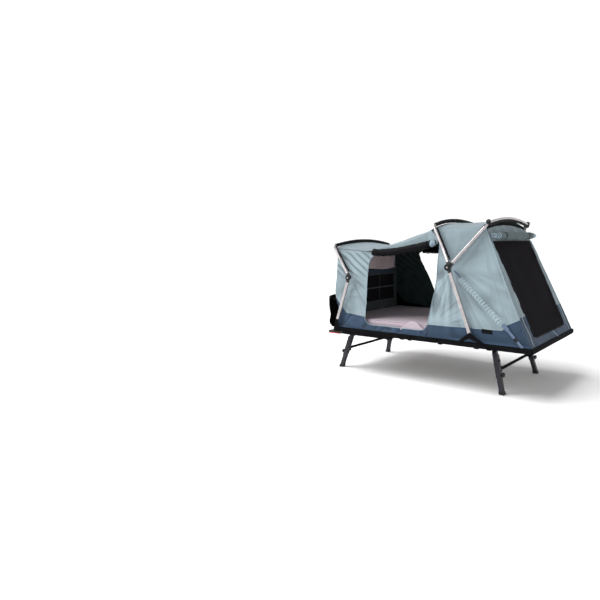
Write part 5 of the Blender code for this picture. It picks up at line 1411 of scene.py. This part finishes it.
# %% [markdown]
# ## Bolts at the hubs
# Each hub turns on a bolt. Its steel head shows in the middle of the black disc: a six-sided head
# with a soft top edge, the same on all four hubs.

# %% The hub bolts
BOLT_SIDE = 0.7927
for end, hub in (("tow", TOW_HUB), ("outer", OUTER_HUB)):
    for side, name in SIDES:
        bolt = cylinder("%s_hub_bolt_%s" % (end, name), 6, 0.0105, 0.0035)
        edit(bolt, bpy.ops.mesh.bevel, offset=0.0008, segments=2, affect="EDGES")
        put_at(bolt, at(hub[0], side * BOLT_SIDE, hub[1]), 90, "X")
        dress(bolt, end + "_poles", bolt_steel)

# %% [markdown]
# ## Knobs high on the legs
# Beside the low knob that locks the leg's length, each leg has a small one higher up, which locks
# the crossbar's end. It is a short disc with finger grooves round its rim: a cylinder whose rim
# faces are pushed in, every third one. On the tow legs it is thin, because they fold up beside the
# chassis.

# %% The small knobs
KNOB_HEIGHT, LEG_TOP, LEG_FACE = 0.337, 0.435, 0.0255
LEG_SIDE, LEG_SPREAD, LEG_LEAN = 0.496, 0.068, 0.113


def finger_grooves():
    grips = bmesh.from_edit_mesh(bpy.context.active_object.data)
    rim = [face for face in grips.faces if abs(face.normal.z) < 0.1]
    rim.sort(key=lambda face: math.atan2(*face.calc_center_median().yx))
    bpy.ops.mesh.select_all(action="DESELECT")
    for face in rim[::3]:
        face.select = True
    bmesh.update_edit_mesh(bpy.context.active_object.data)
    bpy.ops.mesh.inset(thickness=0.0006, use_individual=True, depth=-0.0012)


down = (LEG_TOP - KNOB_HEIGHT) / LEG_TOP
for end, pivot, way, depth in (("tow", 0.093, -1, 0.006), ("outer", 1.905, 1, 0.009)):
    station = pivot + way * LEG_LEAN * down + LEG_FACE + depth / 2
    for side, name in SIDES:
        knob = cylinder("small_knob_%s_%s" % (end, name), 24, 0.0155, depth)
        edit(knob, finger_grooves)
        put_at(knob, at(station, side * (LEG_SIDE + LEG_SPREAD * down), KNOB_HEIGHT), 90, "Y")
        bpy.ops.object.shade_smooth_by_angle(angle=math.radians(30))
        dress(knob, end + "_legs", black_plastic)

# %% [markdown]
# ## Piping, zips and webbing
# The edges of the doors are bound with a light cord, the window panel is closed with a zip on each
# side, and webbing straps with a buckle hold the outer corners down. Each runs along the finished
# cloth, so its line is first laid on the wall and then carried a little outwards.

# %% Lines on the walls
def lay_on(line, cloth, out):
    """Move each point of a line to the nearest place on a finished cloth, and smooth the line."""
    laid = []
    for point in line:
        found, place, normal, _ = cloth.closest_point_on_mesh(Vector(point), distance=0.08)
        laid.append(np.array(place + normal * out) if found else np.array(point))
    laid = np.array(laid)
    for _ in range(2):
        laid[1:-1] = (laid[:-2] + 2 * laid[1:-1] + laid[2:]) / 4
    return laid


def wall_line(pairs, side, count, cloth, out=0.0012):
    """A smooth line of station and height, laid on the near or far wall's cloth."""
    flat = smooth_line([(s, h, 0.0) for s, h in pairs], count)
    half = wall_half(flat[:, 0], flat[:, 1]) - WALL_INSET + 0.002
    return lay_on(columns(flat[:, 0], side * half, flat[:, 1]), cloth, out)


NEAR_LEFT = ((0.560, 1.450), (0.497, 1.420), (0.466, 1.385), (0.450, 1.335), (0.444, 1.25),
             (0.444, 1.0), (0.444, 0.80), (0.444, 0.705))
FAR_LEFT = ((0.47, 1.450), (0.42, 1.420), (0.45, 1.30), (0.545, 1.10), (0.628, 0.90), (0.668, 0.72),
            (0.680, 0.62))
SILL_PIPING = tuple((s, 0.613) for s in np.linspace(0.80, FOLD_LINES[0], 6))
NEAR_SILL = ((0.444, 0.703), (0.4475, 0.672), (0.462, 0.647), (0.482, 0.629), (0.51, 0.617),
             (0.56, 0.613)) + SILL_PIPING
FAR_SILL = ((0.68, 0.613), (0.74, 0.613)) + SILL_PIPING
CORNER = ((FOLD_LINES[0], 0.613), (1.12, 0.613), (1.155, 0.614), (1.192, 0.619), (1.216, 0.634),
          (1.234, 0.656), (1.246, 0.690))
RIGHT = ((1.249, 0.700), (1.2725, 0.88), (1.297, 1.07), (1.313, 1.27), (1.329, 1.46), (1.330, 1.56))
for side, name in SIDES:
    left, sill = (NEAR_LEFT, NEAR_SILL) if side < 0 else (FAR_LEFT, FAR_SILL)
    for word, pairs, count, cloth, body, rest in (
            ("left", left, 130, tow_wall, "tow_section", SEAM),
            ("sill", sill, 110, tow_skirt, "tow_section", HEM),
            ("corner", CORNER, 50, sills[name], "spine_section", HEM),
            ("right", RIGHT, 110, outer_wall, "outer_section", HEM)):
        trim("door_piping_%s_%s" % (word, name), wall_line(pairs, side, count, cloth),
             ring(0.0032), (0, side, 0), body, piping_cloth, rest)

# %% Zips, seams and the small strap on the outer canopy
ZIP_HIGH, ZIP_LOW = (1.575, 0.647), (0.556, 0.657)
SEAMS = (((1.770, 1.640), (1.93, 1.22), (2.086, 0.800)),
         ((1.826, 1.500), (1.91, 1.14), (1.987, 0.815)))
HUB_STRAP = ((1.512, 1.276), (1.55, 1.243), (1.592, 1.206))
for side, name in SIDES:
    heights = np.linspace(ZIP_HIGH[0], ZIP_LOW[0], 120)
    halves = np.interp(heights, *zip(ZIP_LOW, ZIP_HIGH))
    trim("window_zip_" + name, lay_on(on_slope(side * halves, heights, 0.0), end_wall, 0.0006),
         flat_band(0.014, 0.0040), SLOPE_OUT, "outer_section", piping_cloth, HEM,
         folds=lambda points: 0.0005 * np.sin(points[:, 2] * 900))
    for number, pairs in enumerate(SEAMS, 1):
        trim("wall_seam_%s_%d" % (name, number), wall_line(pairs, side, 90, outer_wall, 0.0004),
             flat_band(0.009, 0.0014), (0, side, 0), "outer_section", canopy_cloth,
             HEM)
    trim("hub_strap_" + name, wall_line(HUB_STRAP, side, 20, outer_wall, 0.0015),
         flat_band(0.017, 0.0022), (0, side, 0), "outer_section", webbing, HEM)

# %% The corner straps, with stitching, and the pull tab
STRAP_LOW, STRAP_HIGH, STRAP_SIDE = (2.262, 0.5462), (2.062, 0.762), 0.7512
TAB = ((0.058, 0.612, 0.0015), (0.085, 0.585, 0.004), (0.108, 0.560, 0.007), (0.120, 0.546, 0.010))
for side, name in SIDES:
    s = np.linspace(0, 1, 60)
    station, height = (low + (high - low) * s for low, high in zip(STRAP_LOW, STRAP_HIGH))
    line = columns(station, side * (STRAP_SIDE - 0.003 * s), height)
    strap = trim("corner_strap_" + name + "_webbing", line, flat_band(0.026, 0.0022), (0, side, 0),
                 "outer_section", webbing, HEM, ["corner_strap_" + name],
                 folds=lambda points: 0.0004 * np.sin((points[:, 0] - points[:, 2]) * 1500))
    trim("corner_strap_patch_" + name, line[44:58] + (0, side * 0.001, 0),
         flat_band(0.040, 0.0018), (0, side, 0), "outer_section", webbing, HEM)
trim("window_pull_tab", smooth_line([on_slope(*place) for place in TAB], 24),
     flat_band(0.014, 0.0018), SLOPE_OUT, "outer_section", piping_cloth, HEM)

# %% The bare patch on the sewing line
def patch_shape(u, v):
    station = 1.850 + 0.108 * u
    z = 0.650 + 0.044 * v - 0.004 * u
    return columns(station, -(wall_half(station, z) - WALL_INSET + 0.0022), z)


patch = cloth_grid("bare_patch", 40, 18, (0.108, 0.044), patch_shape, (0.9, 0, 0.7))
points = np.array([tuple(outer_wall.closest_point_on_mesh(Vector(point), distance=0.08)[1])
                   for point in points_of(patch)])
move_points(patch, points - (0, 0.0012, 0))
give_thickness(patch, 0.0014, offset=1.0)
dress(patch, "outer_section", black_cloth, HEM)
print("faces of the bare patch:", len(patch.data.polygons))

# %% [markdown]
# ## Inside the tow end
# Through the open door one sees the inner side of the tow wall. A pleated curtain hangs over its
# window, under it is a broad organiser with net pockets, and below that hangs a pleated lining.
# Pleats are waves across a hanging sheet, tight at the top where they are gathered.

# %% The pleated curtains inside
INSIDE = (-2, 0, 1)


def pleated(name, y_low, y_high, z_low, z_high, station, finish, pleats, depth, seed):
    width, height = y_high - y_low, z_high - z_low

    def shape(u, v):
        z = z_low + height * v - 0.010 * (1 - v) * np.sin(u * 9 + seed)
        wobble = u * pleats + 0.25 * ripple(np.stack((u * 6, v * 2), axis=1), 1.0, seed)
        fold = (0.5 + 0.5 * np.sin(wobble * 2 * math.pi)) ** 1.4
        return columns(station + depth * fold * (0.55 + 0.45 * (1 - v)), y_low + width * u, z)

    curtain = cloth_grid(name, pleats * 12, 24, (width, height), shape, INSIDE)
    # The pleats' groove field is the mask for painted shade in their hollows and a painted
    # highlight on their crests.
    out = (points_of(curtain)[:, 0] + MIDDLE - station) / depth
    store(curtain, "groove", np.clip(1 - 2.4 * out, -1, 1))
    sew(curtain, 0.0014, "tow_section", [finish], SEAM, [])


pleated("inner_curtain_upper", -0.585, 0.600, 1.222, 1.405, 0.060, pleat_cloth, 30, 0.014, 1)
pleated("inner_lining_lower", -0.640, 0.655, 0.640, 0.800, 0.062, green_lining, 26, 0.014, 3)
pleated("inner_lining_side", 0.565, 0.650, 0.790, 1.300, 0.060, green_lining, 3, 0.012, 5)

# %% The organiser with its net pockets
POCKETS = ((0.798, 0.972), (0.984, 1.150))
POCKET_START, POCKET_PITCH, POCKET_WIDTH, POCKET_BULGE = -0.548, 0.368, 0.360, 0.022
POCKET_STATION, BINDING_STATION, SEAM_SIDE = 0.0725, 0.0745, 0.184


def organiser_shape(u, v):
    side = 2 * u - 1
    station = 0.058 + 0.010 * np.sin(v * math.pi) * (1 - side ** 4)
    return columns(station, side * 0.560, 0.790 + 0.430 * v)


organiser = cloth_grid("organiser_back", 120, 44, (1.12, 0.43), organiser_shape, INSIDE)
press(organiser, 0.003 * ripple(points_of(organiser), 0.14, 3))
sew(organiser, 0.004, "tow_section", [skirt_cloth], SEAM, ["organiser"])
for (row, (z_low, z_high)), column in itertools.product(enumerate(POCKETS), range(3)):
    number = "%d_%d" % (row + 1, column + 1)
    y_low = POCKET_START + column * POCKET_PITCH

    def pocket_shape(u, v):
        bulge = POCKET_BULGE * np.sin(u * math.pi) ** 0.7 * (0.35 + 0.65 * v ** 0.7)
        bulge = bulge * np.sin(np.minimum(v * 1.3, 1) * math.pi / 2)
        return columns(POCKET_STATION + bulge, y_low + POCKET_WIDTH * u,
                       z_low + (z_high - z_low) * v)

    pocket = cloth_grid("organiser_pocket_" + number, 40, 24, (POCKET_WIDTH, 0.17), pocket_shape,
                        INSIDE)
    points = points_of(pocket)
    crumple = creases(points, (0, 0.3, 1), 0.05, 0.3, column)
    press(pocket, 0.004 * ripple(points, 0.07, row * 3 + column) - 0.003 * crumple)
    sew(pocket, 0.0012, "tow_section", [pocket_net], SEAM, [])
    t = np.linspace(0, 1, 25)
    bulge = POCKET_BULGE * np.abs(np.sin(t * math.pi)) ** 0.7
    trim("organiser_binding_" + number,
         columns(BINDING_STATION + bulge, y_low + POCKET_WIDTH * t, np.full(25, z_high)),
         flat_band(0.012, 0.0024), (1, 0, 0), "tow_section", green_lining, SEAM)
for number, y in enumerate((-SEAM_SIDE, SEAM_SIDE), 1):
    line = [at(BINDING_STATION, y, z) for z in np.linspace(0.795, 1.155, 30)]
    trim("organiser_seam_%d" % number, line, flat_band(0.009, 0.0022), (1, 0, 0), "tow_section",
         green_lining, SEAM)

# %% [markdown]
# ## Caps over the hinges
# The hinges of the first fold stand up beside the mattress. A small padded cap in mattress cloth
# covers each pair of leaves, so that bedding does not catch: a low mound.

# %% The hinge caps
CAP_HALF, CAP_ROUND, CAP_PLACE = np.array((0.160, 0.0125, 0.0475)), 0.011, (0.7215, 0.6395)
CAP_TOP, BEND, BEND_HALF = 0.66, FOLD_LINES[0], 0.02
for side, name in SIDES:
    cap, _, points = round_box("hinge_cap_1_" + name, 20, CAP_HALF, CAP_ROUND)
    swell = 0.5 + 0.5 * np.clip(points[:, 2] / CAP_HALF[2], -1, 1)
    points[:, 2] += swell * (0.012 - 0.086 * rise(np.abs(points[:, 0]), 0.024, 0.158))
    points += np.array((BEND - MIDDLE, side * CAP_PLACE[0], CAP_PLACE[1]))
    points += ripple(points, 0.03)[:, None] * (0.0008, 0.0004, 0.0008)
    move_points(cap, points)
    bpy.ops.object.shade_smooth()
    cap.data.materials.append(mattress_cloth)
    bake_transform(cap)
